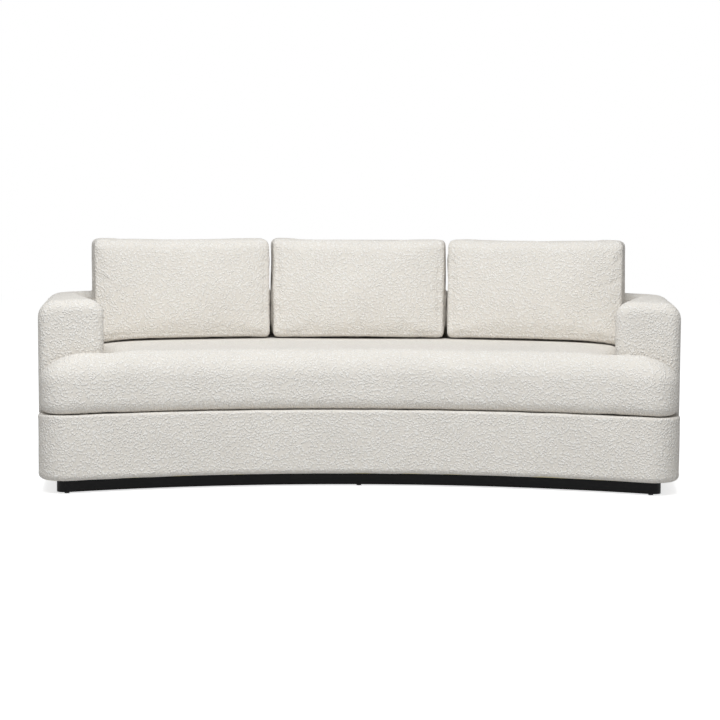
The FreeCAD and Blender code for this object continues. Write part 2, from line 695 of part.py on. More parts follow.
def make_arms_and_back(holes):
    """The arms' and back's wooden frame, foam and covers."""
    start, length = panel_span()
    bottom = size.base_bottom
    panel = ("panel_thickness", "panel_height", bottom)
    right = wall_board("arm_panel_board_right", start, side_back, length, *panel)
    left_corner = mirrored(start - side_out * size.panel_thickness)
    left = wall_board("arm_panel_board_left", left_corner, mirrored(side_back), length, *panel)
    drilled("arm_panel_right", right, holes)
    drilled("arm_panel_left", left, holes)

    outer = side_start - side_out * size.stump_margin
    inner = arm_inner_point + arm_out * size.stump_margin
    face = arm_face_point - arm_face_out * size.frame_inset
    stump_back = face - arm_face_out * size.panel_thickness
    stump = [
        crossing(outer, side_back, face, arm_face_out),
        crossing(outer, side_back, stump_back, arm_face_out),
        crossing(inner, arm_back, stump_back, arm_face_out),
        crossing(inner, arm_back, face, arm_face_out),
    ]
    top = [
        stump[0],
        crossing(outer, side_back, side_end, side_back),
        crossing(inner, arm_back, side_end, side_back),
        stump[3],
    ]
    for label, corners, height, level in (
        ("arm_stump", stump, "stump_height", size.rail_top),
        ("arm_top_board", top, "panel_thickness", size.frame_top - size.panel_thickness),
    ):
        right = plan_board(f"{label}_right", corners, height, level)
        left = plan_board(f"{label}_left", [mirrored(corner) for corner in corners][::-1], height, level)
        keep(right, right.Label)
        keep(left, left.Label)

    half_upright = math.degrees(size.upright_width / 2 / size.upright_radius)
    for label, share in UPRIGHTS.items():
        degrees = share * last_upright
        board = arc_board(
            f"upright_board_{label}",
            "upright_radius",
            "upright_depth",
            "upright_height",
            bottom,
            90 - degrees - half_upright,
            2 * half_upright,
        )
        drilled(f"back_upright_{label}", board, holes)
    reach = last_upright + half_upright
    top_rail = arc_board(
        "back_top_rail",
        "upright_radius",
        "upright_depth",
        "top_rail_height",
        size.frame_top - size.top_rail_height,
        90 - reach,
        2 * reach,
    )
    keep(top_rail, "back_top_rail")
    spacing = (size.frame_top - size.top_rail_height - size.base_top) / (len(STRAPS) + 1)
    for label, step in STRAPS.items():
        level = size.base_top + step * spacing - size.strap_width / 2
        strap = arc_board(
            f"back_strap_{label}",
            "strap_radius",
            "strap_thickness",
            "strap_width",
            level,
            90 - reach,
            2 * reach,
        )
        keep(strap, strap.Label)

    cover = arm_and_back_form(0, size.base_top, size.arm_height)
    under_cover = arm_and_back_form(
        size.cover_thickness, size.base_top - 1, size.arm_height - size.cover_thickness
    )
    foam = arm_and_back_form(size.layer, size.base_top + size.soft_gap, size.arm_height - size.layer)
    cavity = arm_and_back_form(size.frame_inset - size.soft_gap, size.base_top - 1, size.cavity_top)
    before_arm = side_start - side_back * size.arm_width
    for label, shape in (("cover", cover.cut(under_cover)), ("foam", foam.cut(cavity))):
        right, left, back = split_sides(before_arm, side_end, 2 * size.arm_width, shape)
        solid_node(f"arm_{label}_right", right)
        solid_node(f"arm_{label}_left", left)
        solid_node(f"back_{label}", back.cut(slab_cuts()) if label == "foam" else back)


def round_corner(before, corner, after, cut):
    """Round a corner with an arc that starts and ends at a distance from it."""
    start_way = (before - corner).normalize()
    end_way = (after - corner).normalize()
    half = start_way.getAngle(end_way) / 2
    bisector = (start_way + end_way).normalize()
    middle = corner + bisector * (cut / math.cos(half) - cut * math.tan(half))
    start = corner + start_way * cut
    end = corner + end_way * cut
    return start, end, Part.Arc(start, middle, end).toShape()


def seat_outline(front, end, ear_back, side):
    """Draw the seat cushion in plan, drawn in by an amount on each of its sides.

    It has an ear in front of each arm.
    """
    radius = size.seat_corner_radius - front - ear_back
    corner = on_line_at_reach(
        side_start + side_out * (size.seat_proud - end - radius),
        side_back,
        size.front_radius - size.seat_proud + front + radius,
    )
    front_end = centre + towards(corner) * (size.front_radius - size.seat_proud + front)
    ear_start = corner + side_out * radius
    face = arm_face_point + arm_face_out * (size.cushion_gap + ear_back)
    wall = arm_inner_point - arm_out * (size.cushion_gap + side)
    ear_corner = crossing(ear_start, side_back, face, arm_face_out)
    arm_corner = crossing(wall, arm_back, face, arm_face_out)
    rear_radius = size.inner_corner_radius - size.cushion_gap - side
    wall_end = inner_corner + arm_out * rear_radius
    back_end = centre + towards(inner_corner) * (size.back_inside - size.cushion_gap - side)
    cut = size.seat_ear_round
    ear_in, ear_out, ear_arc = round_corner(ear_start, ear_corner, arm_corner, cut)
    arm_in, arm_out_point, arm_arc = round_corner(ear_corner, arm_corner, wall_end, cut)
    right = [
        arc(front_end, corner, ear_start),
        line(ear_start, ear_in),
        ear_arc,
        line(ear_out, arm_in),
        arm_arc,
        line(arm_out_point, wall_end),
        arc(wall_end, inner_corner, back_end),
    ]
    arcs = [arc(mirrored(front_end), centre, front_end), arc(back_end, centre, mirrored(back_end))]
    return both_sides(right) + arcs


def seat_form(inset):
    """Loft the seat cushion through outlines: a rolled lower edge, upright sides and a crowned top."""
    bottom = size.seat_bottom + inset
    top = size.seat_top - inset
    wires = []
    lowest = math.radians(SEAT_ROLL_ANGLES[0])
    for degrees in SEAT_ROLL_ANGLES:
        angle = math.radians(degrees)
        rolled = size.seat_foot_round * (1 - math.sin(angle))
        edge = rolled + inset
        side = rolled * size.seat_side_share + inset
        height = bottom + size.seat_foot_round * (math.cos(lowest) - math.cos(angle))
        wires.append(at_height(seat_outline(edge, edge, side, side), height))
    upright_middle = (height + top - size.seat_crown_rise) / 2
    wires.append(at_height(seat_outline(inset, inset, inset, inset), upright_middle))
    last = math.radians(SEAT_CROWN_ANGLES[-1])
    for degrees in SEAT_CROWN_ANGLES:
        angle = math.radians(degrees)
        rolled = 1 - math.cos(angle)
        height = top - size.seat_crown_rise * (1 - math.sin(angle) / math.sin(last))
        outline = seat_outline(
            size.seat_front_run * rolled + inset,
            size.seat_end_run * rolled + inset,
            size.seat_ear_run * rolled + inset,
            size.seat_side_run * rolled + inset,
        )
        wires.append(at_height(outline, height))
    return Part.makeLoft(wires, True, False)


def seat_block(margin):
    """Give the straight-sided block of the seat's core."""
    bottom = size.seat_bottom + margin
    return prism(seat_outline(margin, 2 * margin, margin, margin), bottom, size.seat_top - 2 * margin)


def make_seat_cushion():
    """The seat cushion: a foam core, a fibre wrap and a cover."""
    core = seat_block(size.seat_core_margin)
    solid_node("seat_core", core)
    solid_node("seat_wrap", seat_form(size.layer).cut(seat_block(size.seat_core_margin - size.soft_gap)))
    solid_node("seat_cover", seat_form(0).cut(seat_form(size.cover_thickness)))


def bowed(start, end, bow):
    """Draw a stretch that bows to the right of its direction, or to the left below zero."""
    along = (end - start).normalize()
    return Part.Arc(start, (start + end) / 2 + turned(along, -90) * bow, end).toShape()


def back_cushion_outline(sides, front, back, cuts, bows):
    """Draw a back cushion in plan from its two side lines and the reach of its front and back."""
    (left_start, left_along), (right_start, right_along) = sides
    corners = [
        on_line_at_reach(left_start, left_along, front),
        on_line_at_reach(right_start, right_along, front),
        on_line_at_reach(right_start, right_along, back),
        on_line_at_reach(left_start, left_along, back),
    ]
    befores = corners[-1:] + corners[:-1]
    afters = corners[1:] + corners[:1]
    rounds = [round_corner(*points) for points in zip(befores, corners, afters, cuts)]
    edges = []
    for index in range(4):
        edges.append(rounds[index][2])
        edges.append(bowed(rounds[index][1], rounds[(index + 1) % 4][0], bows[index]))
    return edges


def back_cushion_form(side_lines, outer_cut, inset):
    """Loft a back cushion through outlines: rolled edges, a crowned front and drawn-in sides."""
    bottom = size.back_cushion_bottom + inset
    top = size.back_cushion_top - inset
    roll = size.back_cushion_round
    angles = [math.radians(degrees) for degrees in BACK_CUSHION_ROLL_ANGLES]
    rise = [roll * (math.cos(angles[0]) - math.cos(angle)) for angle in angles]
    drawn = [roll * (1 - math.sin(angle)) for angle in angles]
    levels = [(bottom + up, inwards) for up, inwards in zip(rise, drawn)]
    levels += [(bottom + share * (top - bottom), 0) for share in BACK_CUSHION_SIDE_SHARES]
    levels += [(top - up, inwards) for up, inwards in zip(rise[::-1], drawn[::-1])]
    wires = []
    for height, rolled in levels:
        share = (height - bottom) / (top - bottom)
        swell = 4 * share * (1 - share)
        shift = inset + rolled
        sides = [(start - out * shift, along) for start, along, out in side_lines]
        front = size.back_inside - size.back_cushion_depth + size.back_cushion_lean * share + shift
        back = size.back_inside - size.cushion_gap - shift
        cut = size.back_cushion_corner
        bows = [
            size.back_cushion_crown * (1 + swell) / 2,
            -size.back_cushion_draw,
            size.back_cushion_draw,
            -size.back_cushion_draw,
        ]
        outline = back_cushion_outline(sides, front, back, [cut, cut, outer_cut, cut], bows)
        wires.append(at_height(outline, height))
    return Part.makeLoft(wires, True, False)


def make_back_cushions():
    """The three loose back cushions, each a fibre fill in a cover."""
    cushion_front = size.back_inside - size.back_cushion_depth
    degrees = angle_of(on_line_at_reach(arm_inner_point, arm_back, cushion_front)) / 3
    along = turned(Vector(0, 1, 0), -degrees)
    out = turned(Vector(1, 0, 0), -degrees)
    gap = size.cushion_gap
    left_of_middle = (centre + mirrored(out) * -gap, mirrored(along), mirrored(out))
    right_of_middle = (centre - out * gap, along, out)
    left_of_right = (centre + out * gap, along, out * -1)
    beside_arm = (arm_inner_point - arm_out * size.cushion_gap, arm_back, arm_out)
    for label, sides, cut in (
        ("middle", (left_of_middle, right_of_middle), size.back_cushion_corner),
        ("right", (left_of_right, beside_arm), size.inner_corner_radius),
    ):
        outer = back_cushion_form(sides, cut, 0)
        cover = outer.cut(back_cushion_form(sides, cut, size.cover_thickness))
        fill = back_cushion_form(sides, cut, size.layer)
        solid_node(f"back_cushion_cover_{label}", cover)
        solid_node(f"back_cushion_fill_{label}", fill)
        if label == "right":
            solid_node("back_cushion_cover_left", cover.mirror(Vector(0, 0, 0), Vector(1, 0, 0)))
            solid_node("back_cushion_fill_left", fill.mirror(Vector(0, 0, 0), Vector(1, 0, 0)))


make_plinth()
screw_holes = make_screws()
make_base_frame(screw_holes)
make_suspension()
make_base_upholstery()
make_arms_and_back(screw_holes)
make_seat_cushion()
make_back_cushions()
doc.recompute()

for thing in doc.Objects:
    if "Invalid" in thing.State or "Error" in thing.State:
        raise RuntimeError(f"{thing.Label} failed: {thing.State}")
os.makedirs("parts", exist_ok=True)
for thing in nodes:
    shape = thing.Shape
    if shape.isNull() or not shape.isValid() or not shape.Solids:
        raise RuntimeError(f"{thing.Label} has no valid solid")
    print(f"{thing.Label}: {len(shape.Solids)} solids, {shape.Volume / 1000:.1f} cm3")
for thing in nodes:
    thing.Shape.exportStep(f"parts/{thing.Label}.step")
print(f"{len(nodes)} nodes")
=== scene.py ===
"""Curved three-seat sofa in cream boucle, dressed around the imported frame.

Everything is in metres in the frame's own axes: +Z up, +X to the right, and the front faces -Y. In plan
the front and the back of the sofa are arcs about one centre line, which stands in front of it.
"""

import json
import logging
import math
from dataclasses import dataclass
from enum import Enum

import bmesh
import bpy
import numpy as np
from mathutils import Matrix, Vector


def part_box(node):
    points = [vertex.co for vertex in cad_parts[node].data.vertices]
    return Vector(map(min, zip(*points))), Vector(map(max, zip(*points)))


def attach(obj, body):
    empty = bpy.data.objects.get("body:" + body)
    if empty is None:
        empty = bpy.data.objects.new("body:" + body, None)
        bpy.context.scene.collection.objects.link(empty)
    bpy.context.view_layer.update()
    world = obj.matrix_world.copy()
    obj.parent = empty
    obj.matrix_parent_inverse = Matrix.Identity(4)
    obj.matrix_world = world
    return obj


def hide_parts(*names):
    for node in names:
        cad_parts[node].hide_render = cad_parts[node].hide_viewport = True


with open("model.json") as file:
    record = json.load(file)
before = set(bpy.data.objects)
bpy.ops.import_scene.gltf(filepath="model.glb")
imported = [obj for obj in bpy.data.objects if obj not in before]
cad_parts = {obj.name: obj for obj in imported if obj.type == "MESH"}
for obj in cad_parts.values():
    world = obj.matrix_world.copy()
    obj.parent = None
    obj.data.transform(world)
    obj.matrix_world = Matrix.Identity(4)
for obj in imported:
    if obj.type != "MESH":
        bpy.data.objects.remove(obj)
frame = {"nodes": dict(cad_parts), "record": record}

LOG = logging.getLogger("sofa")
MM = 0.001
LEAST_GAP = 0.0003
# A wave texture of scale 1 has this many bands to the metre.
WAVE_BANDS = 3.2


def turned(direction: tuple[float, float], degrees: float) -> np.ndarray:
    """Turn a plan direction about the vertical.

    Args:
        direction: X and Y of the direction.
        degrees: Turn, counter-clockwise seen from above.

    Returns:
        The turned direction.
    """
    angle = math.radians(degrees)
    x, y = direction
    return np.array([x * math.cos(angle) - y * math.sin(angle), x * math.sin(angle) + y * math.cos(angle)])


def unit(vector: np.ndarray) -> np.ndarray:
    """Scale vectors, along their last axis, to length 1."""
    return vector / np.maximum(np.linalg.norm(vector, axis=-1, keepdims=True), 1e-12)


def line(start: np.ndarray, end: np.ndarray, count: int) -> np.ndarray:
    """Points evenly spaced from start to end, both included."""
    return start + (end - start) * np.linspace(0, 1, count)[:, None]


def arc(middle: np.ndarray, start: np.ndarray, end: np.ndarray, count: int) -> np.ndarray:
    """Points of the shorter arc about a middle: the radius to the start, turned evenly towards the end."""
    first = math.atan2(start[1] - middle[1], start[0] - middle[0])
    last = math.atan2(end[1] - middle[1], end[0] - middle[0])
    sweep = (last - first + math.pi) % (2 * math.pi) - math.pi
    angles = first + sweep * np.linspace(0, 1, count)
    return middle + np.linalg.norm(start - middle) * np.stack([np.cos(angles), np.sin(angles)], 1)


def chain(*runs: np.ndarray) -> np.ndarray:
    """Join runs of points that end where the next begins."""
    return np.concatenate([run[:-1] for run in runs[:-1]] + [runs[-1]])


def both_sides(half: np.ndarray) -> np.ndarray:
    """Close the right half of an outline, from front middle to back middle, with its mirror image."""
    return np.concatenate([half, half[-2:0:-1] * [-1, 1]])


def crossing(start: np.ndarray, along: np.ndarray, wall: np.ndarray, wall_out: np.ndarray) -> np.ndarray:
    """The point where a line meets a wall that is given by a point and the direction that it faces."""
    return start + along * ((wall - start) @ wall_out / (along @ wall_out))


def spaced(length: float, step: float) -> int:
    """How many points divide a length into steps of about a size."""
    return max(2, int(round(length / step)) + 1)


def resampled(points: np.ndarray, shares: np.ndarray) -> np.ndarray:
    """The points that lie at shares of a line's length, by straight interpolation between its points."""
    lengths = np.concatenate([[0], np.cumsum(np.linalg.norm(np.diff(points, axis=0), axis=1))])
    places = shares * lengths[-1]
    return np.stack([np.interp(places, lengths, points[:, axis]) for axis in range(points.shape[1])], 1)


def ripple(points: np.ndarray, wavelength: float, seed: int, waves: int = 9) -> np.ndarray:
    """Smooth unevenness from -1 to about 1: a sum of sine waves of one wavelength in seeded directions.

    Args:
        points: Places, one row each.
        wavelength: Distance from crest to crest.
        seed: Picks the directions and phases.
        waves: How many waves are added up.

    Returns:
        One value for each point.
    """
    random = np.random.default_rng(seed)
    directions = unit(random.normal(size=(waves, 3))) * (2 * math.pi / wavelength)
    phases = random.uniform(0, 2 * math.pi, waves)
    return np.sin(points @ directions.T + phases).sum(1) / math.sqrt(2 * waves)


def mesh_of(name: str, grid: np.ndarray, closed: bool) -> bpy.types.Object:
    """Make a mesh object of a grid of points, with one quad for each cell.

    Args:
        name: The piece's name.
        grid: Rows by columns by 3. Seen from outside, rows run upwards and columns to the right.
        closed: Whether the last row joins the first, and the last column the first.

    Returns:
        The object, with coinciding points merged and faces smooth.
    """
    rows, columns = grid.shape[:2]
    index = np.arange(rows * columns).reshape(rows, columns)
    if closed:
        index = np.pad(index, ((0, 1), (0, 1)), "wrap")
    quads = np.stack([index[:-1, :-1], index[:-1, 1:], index[1:, 1:], index[1:, :-1]], -1)
    piece = linked_mesh(name, grid.reshape(-1, 3), quads.reshape(-1, 4).tolist())
    merge_points(piece.data)
    return piece


def linked_mesh(name: str, points: np.ndarray, faces: list) -> bpy.types.Object:
    """Make an object of points and faces, and put it into the scene."""
    mesh = bpy.data.meshes.new(name)
    mesh.from_pydata(points, [], faces)
    piece = bpy.data.objects.new(name, mesh)
    bpy.context.scene.collection.objects.link(piece)
    return piece


def merge_points(mesh: bpy.types.Mesh, distance: float = 0.05 * MM) -> None:
    """Merge points that coincide, so that poles and seams are closed."""
    work = bmesh.new()
    work.from_mesh(mesh)
    bmesh.ops.remove_doubles(work, verts=work.verts, dist=distance)
    bmesh.ops.dissolve_degenerate(work, edges=work.edges, dist=distance)
    work.to_mesh(mesh)
    work.free()
    mesh.shade_smooth()


def points_of(mesh: bpy.types.Mesh) -> np.ndarray:
    """A mesh's points, one row each."""
    return rows_of(mesh.vertices, "co")


def normals_of(mesh: bpy.types.Mesh) -> np.ndarray:
    """The direction that the surface faces at each of a mesh's points."""
    return rows_of(mesh.vertex_normals, "vector")


def rows_of(items: bpy.types.bpy_prop_collection, name: str) -> np.ndarray:
    """Read a vector of every item, one row each."""
    flat = np.empty(len(items) * 3, np.float32)
    items.foreach_get(name, flat)
    return flat.reshape(-1, 3).astype(float)


def move_points(mesh: bpy.types.Mesh, points: np.ndarray) -> None:
    """Give a mesh's points new places."""
    mesh.vertices.foreach_set("co", points.astype(np.float32).ravel())
    mesh.update()


def wear(piece: bpy.types.Object, cloth: bpy.types.Material) -> None:
    """Dress a finished piece in its cloth alone, and report it."""
    piece.data.materials.clear()
    piece.data.materials.append(cloth)
    LOG.info("%s: %d faces", piece.name, len(piece.data.polygons))


def with_modifiers_applied(piece: bpy.types.Object) -> None:
    """Replace a piece's mesh by what its modifiers make of it, and remove them."""
    shaped = bpy.data.meshes.new_from_object(piece.evaluated_get(bpy.context.evaluated_depsgraph_get()))
    piece.modifiers.clear()
    piece.data = shaped


def linear(code: str) -> tuple[float, float, float, float]:
    """Turn an sRGB hex colour, such as "#E9E5DC", into the linear colour that a shader reads."""
    parts = np.array([int(code[place : place + 2], 16) / 255 for place in (1, 3, 5)])
    low, high = parts / 12.92, ((parts + 0.055) / 1.055) ** 2.4
    return (*np.where(parts <= 0.04045, low, high).tolist(), 1.0)


def add_node(tree: bpy.types.NodeTree, kind: str, inputs: dict, **settings) -> bpy.types.Node:
    """Add a node to a material.

    Args:
        tree: The material's nodes.
        kind: Blender's name of the node, without "ShaderNode".
        inputs: What goes into each input, by name or number: another node's output, or a value.
        settings: The node's own settings.

    Returns:
        The node.
    """
    node = tree.nodes.new(f"ShaderNode{kind}")
    for name, value in settings.items():
        setattr(node, name, value)
    for name, value in inputs.items():
        if isinstance(value, bpy.types.NodeSocket):
            tree.links.new(value, node.inputs[name])
        else:
            node.inputs[name].default_value = value
    return node


def blank_material(name: str) -> tuple[bpy.types.Material, bpy.types.NodeTree, bpy.types.NodeSocket]:
    """Make an empty material, and give it with its nodes and the place on the object in metres."""
    material = bpy.data.materials.new(name)
    material.use_nodes = True
    tree = material.node_tree
    tree.nodes.clear()
    place = add_node(tree, "TexCoord", {}).outputs["Object"]
    return material, tree, place


def finish_material(tree: bpy.types.NodeTree, shader: bpy.types.Node) -> None:
    """Link a shader to a material's output."""
    add_node(tree, "OutputMaterial", {"Surface": shader.outputs[0]})


def finish_solid(
    tree: bpy.types.NodeTree, relief: bpy.types.NodeSocket, strength: float, depth_mm: float, inputs: dict
) -> None:
    """Give a material its principled shader, with a surface raised by a pattern.

    Args:
        tree: The material's nodes.
        relief: The pattern, from 0 in its hollows to about 1 on its crests.
        strength: How strongly the relief is seen.
        depth_mm: Height from hollow to crest.
        inputs: The shader's other inputs.
    """
    bump = add_node(tree, "Bump", {"Height": relief, "Strength": strength, "Distance": depth_mm * MM})
    shader = add_node(tree, "BsdfPrincipled", {**inputs, "Normal": bump.outputs["Normal"]})
    finish_material(tree, shader)


def two_tones(
    tree: bpy.types.NodeTree, share: bpy.types.NodeSocket, dark: str, light: str
) -> bpy.types.NodeSocket:
    """Mix two sRGB hex colours by a pattern from 0, dark, to 1, light."""
    inputs = {"Factor": share, "A": linear(dark), "B": linear(light)}
    return add_node(tree, "Mix", inputs, data_type="RGBA").outputs["Result"]


@dataclass(frozen=True)
class BoucleCloth:
    """Boucle: looped wool and cotton yarn, woven so that the loops stand up as nubs of a few millimetres.

    The loops scatter light, so the cloth is matt, and the shade between them gives the surface its grain:
    it is painted into the colour, as a darker, warmer tone in the gaps between the nubs.
    Real nubs of 4 mm are finer than the picture shows, so they are drawn about twice as wide.
    """

    name: str = "boucle_cloth"
    yarn: str = "#F2EFEA"
    # Colour of the gaps between nubs: painted shade, the same yarn drawn darker and warmer.
    painted_gap_shade: str = "#E4DED5"
    nub_mm: float = 7.5
    curl_mm: float = 17.0
    fibre_mm: float = 2.2
    tone_mm: float = 210.0
    nub_height_mm: float = 2.6

    def make(self) -> bpy.types.Material:
        """Build the material: nubs are cells of warped space, raised, with painted shade making their gaps
        darker.
        """
        material, tree, place = blank_material(self.name)
        curl = {"Vector": place, "Scale": 1 / (self.curl_mm * MM), "Detail": 2.0, "Roughness": 0.6}
        warp = add_node(tree, "TexNoise", curl)
        shift = add_node(
            tree, "VectorMath", {0: warp.outputs["Color"], 1: (self.nub_mm * MM,) * 3}, operation="MULTIPLY"
        )
        bent = add_node(tree, "VectorMath", {0: place, 1: shift.outputs[0]}, operation="ADD")
        cells = add_node(
            tree,
            "TexVoronoi",
            {"Vector": bent.outputs[0], "Scale": 1 / (self.nub_mm * MM), "Smoothness": 0.6},
            feature="SMOOTH_F1",
        )
        nub = add_node(
            tree,
            "MapRange",
            {"Value": cells.outputs["Distance"], "From Min": 0.62, "From Max": 0.12},
            interpolation_type="SMOOTHSTEP",
        )
        fuzz = {"Vector": place, "Scale": 1 / (self.fibre_mm * MM), "Detail": 3.0, "Roughness": 0.7}
        fibre = add_node(tree, "TexNoise", fuzz)
        height = add_node(
            tree, "Math", {0: fibre.outputs[0], 1: 0.45, 2: nub.outputs["Result"]}, operation="MULTIPLY_ADD"
        ).outputs[0]
        shade = add_node(tree, "MapRange", {"Value": height, "From Min": 0.1, "From Max": 1.1})
        # Painted shade: the lower the surface between nubs, the nearer its colour comes to the gaps' darker
        # tone.
        cloth = two_tones(tree, shade.outputs["Result"], self.painted_gap_shade, self.yarn)
        slow = {"Vector": place, "Scale": 1 / (self.tone_mm * MM), "Detail": 3.0, "Roughness": 0.55}
        tone = add_node(tree, "TexNoise", slow)
        drift = add_node(
            tree, "MapRange", {"Value": tone.outputs[0], "From Min": 0.3, "From Max": 0.7, "To Min": 0.965}
        )
        faded = {0: cloth, "Scale": drift.outputs["Result"]}
        colour = add_node(tree, "VectorMath", faded, operation="SCALE")
        matt = {"Roughness": 0.95, "Specular IOR Level": 0.15, "Sheen Weight": 0.12, "Sheen Roughness": 0.6}
        finish_solid(tree, height, 0.8, self.nub_height_mm, {"Base Color": colour.outputs[0], **matt})
        return material


@dataclass(frozen=True)
class GrainedBoard:
    """A board with wood grain: sawn softwood and plywood, or a board painted so that the grain shows.

    The grain is long and narrow, so it streaks along the board and is fine across it.
    """

    name: str
    light: str
    dark: str
    grain_mm: float = 3.0
    stretch: float = 14.0
    roughness: float = 0.6
    depth_mm: float = 0.15
    gloss: float = 0.5
    uneven: float = 0.08

    def make(self) -> bpy.types.Material:
        """Build the material: noise drawn out along the board colours and bumps it."""
        material, tree, place = blank_material(self.name)
        size = add_node(tree, "Mapping", {"Vector": place, "Scale": (1.0, self.stretch, self.stretch)})
        scale = 1 / (self.grain_mm * self.stretch * MM)
        fine = {"Scale": scale, "Detail": 6.0, "Roughness": 0.62, "Distortion": 0.4}
        grain = add_node(tree, "TexNoise", {"Vector": size.outputs[0], **fine}).outputs[0]
        least, most = max(0.0, self.roughness - self.uneven), min(1.0, self.roughness + self.uneven)
        rough = add_node(tree, "MapRange", {"Value": grain, "To Min": least, "To Max": most})
        inputs = {
            "Base Color": two_tones(tree, grain, self.dark, self.light),
            "Roughness": rough.outputs["Result"],
            "Specular IOR Level": self.gloss,
        }
        finish_solid(tree, grain, 0.5, self.depth_mm, inputs)
        return material


@dataclass(frozen=True)
class CellularStuffing:
    """Foam, fibre or felt: many small hollows or hairs, so it is matt and finely pitted."""

    name: str
    light: str
    dark: str
    cell_mm: float
    depth_mm: float

    def make(self) -> bpy.types.Material:
        """Build the material: small cells are pits, darkened with painted shade."""
        material, tree, place = blank_material(self.name)
        even = {"Vector": place, "Scale": 1 / (self.cell_mm * MM)}
        pits = add_node(tree, "TexVoronoi", even, feature="F1").outputs["Distance"]
        # Painted shade: the colour turns to the dark tone in the hollows of the pits.
        inputs = {
            "Base Color": two_tones(tree, pits, self.dark, self.light),
            "Roughness": 1.0,
            "Specular IOR Level": 0.1,
        }
        finish_solid(tree, pits, 0.7, self.depth_mm, inputs)
        return material


@dataclass(frozen=True)
class WovenBand:
    """Webbing or thin cloth: threads that cross at right angles, seen as a small even check."""

    name: str
    light: str
    dark: str
    thread_mm: float
    depth_mm: float = 0.3

    def make(self) -> bpy.types.Material:
        """Build the material: the higher of two sets of sine bands, one along X and one upright."""
        material, tree, place = blank_material(self.name)
        scale = 1 / (self.thread_mm * MM * WAVE_BANDS)
        waves = {"Vector": place, "Scale": scale, "Distortion": 0.4}
        along = add_node(tree, "TexWave", waves, bands_direction="X")
        upright = add_node(tree, "TexWave", waves, bands_direction="Z")
        threads = {0: along.outputs[1], 1: upright.outputs[1]}
        weave = add_node(tree, "Math", threads, operation="MAXIMUM").outputs[0]
        inputs = {"Base Color": two_tones(tree, weave, self.dark, self.light), "Roughness": 0.9}
        finish_solid(tree, weave, 0.5, self.depth_mm, inputs)
        return material


@dataclass(frozen=True)
class DrawnSteel:
    """Zinc plated steel wire and screws: metal drawn through a die, with faint streaks and a soft gloss."""

    name: str = "drawn_steel"
    metal: str = "#B9BABC"
    streak_mm: float = 1.2

    def make(self) -> bpy.types.Material:
        """Build the material: fine noise varies the gloss."""
        material, tree, place = blank_material(self.name)
        fine = {"Vector": place, "Scale": 1 / (self.streak_mm * MM), "Detail": 4.0}
        streaks = add_node(tree, "TexNoise", fine).outputs[0]
        rough = add_node(tree, "MapRange", {"Value": streaks, "To Min": 0.22, "To Max": 0.48})
        inputs = {"Base Color": linear(self.metal), "Metallic": 1.0, "Roughness": rough.outputs["Result"]}
        finish_solid(tree, streaks, strength=0.2, depth_mm=0.05, inputs=inputs)
        return material


@dataclass(frozen=True)
class MouldedNylon:
    """Black nylon, injection moulded: a fine even grain and a dull shine."""

    name: str = "moulded_nylon"
    plastic: str = "#1A1A1B"
    grain_mm: float = 0.8

    def make(self) -> bpy.types.Material:
        """Build the material: a fine grain bumps the surface."""
        material, tree, place = blank_material(self.name)
        fine = {"Vector": place, "Scale": 1 / (self.grain_mm * MM), "Detail": 2.0}
        grain = add_node(tree, "TexNoise", fine).outputs[0]
        rough = add_node(tree, "MapRange", {"Value": grain, "To Min": 0.4, "To Max": 0.6})
        inputs = {"Base Color": linear(self.plastic), "Roughness": rough.outputs["Result"], "IOR": 1.53}
        finish_solid(tree, grain, strength=0.25, depth_mm=0.05, inputs=inputs)
        return material


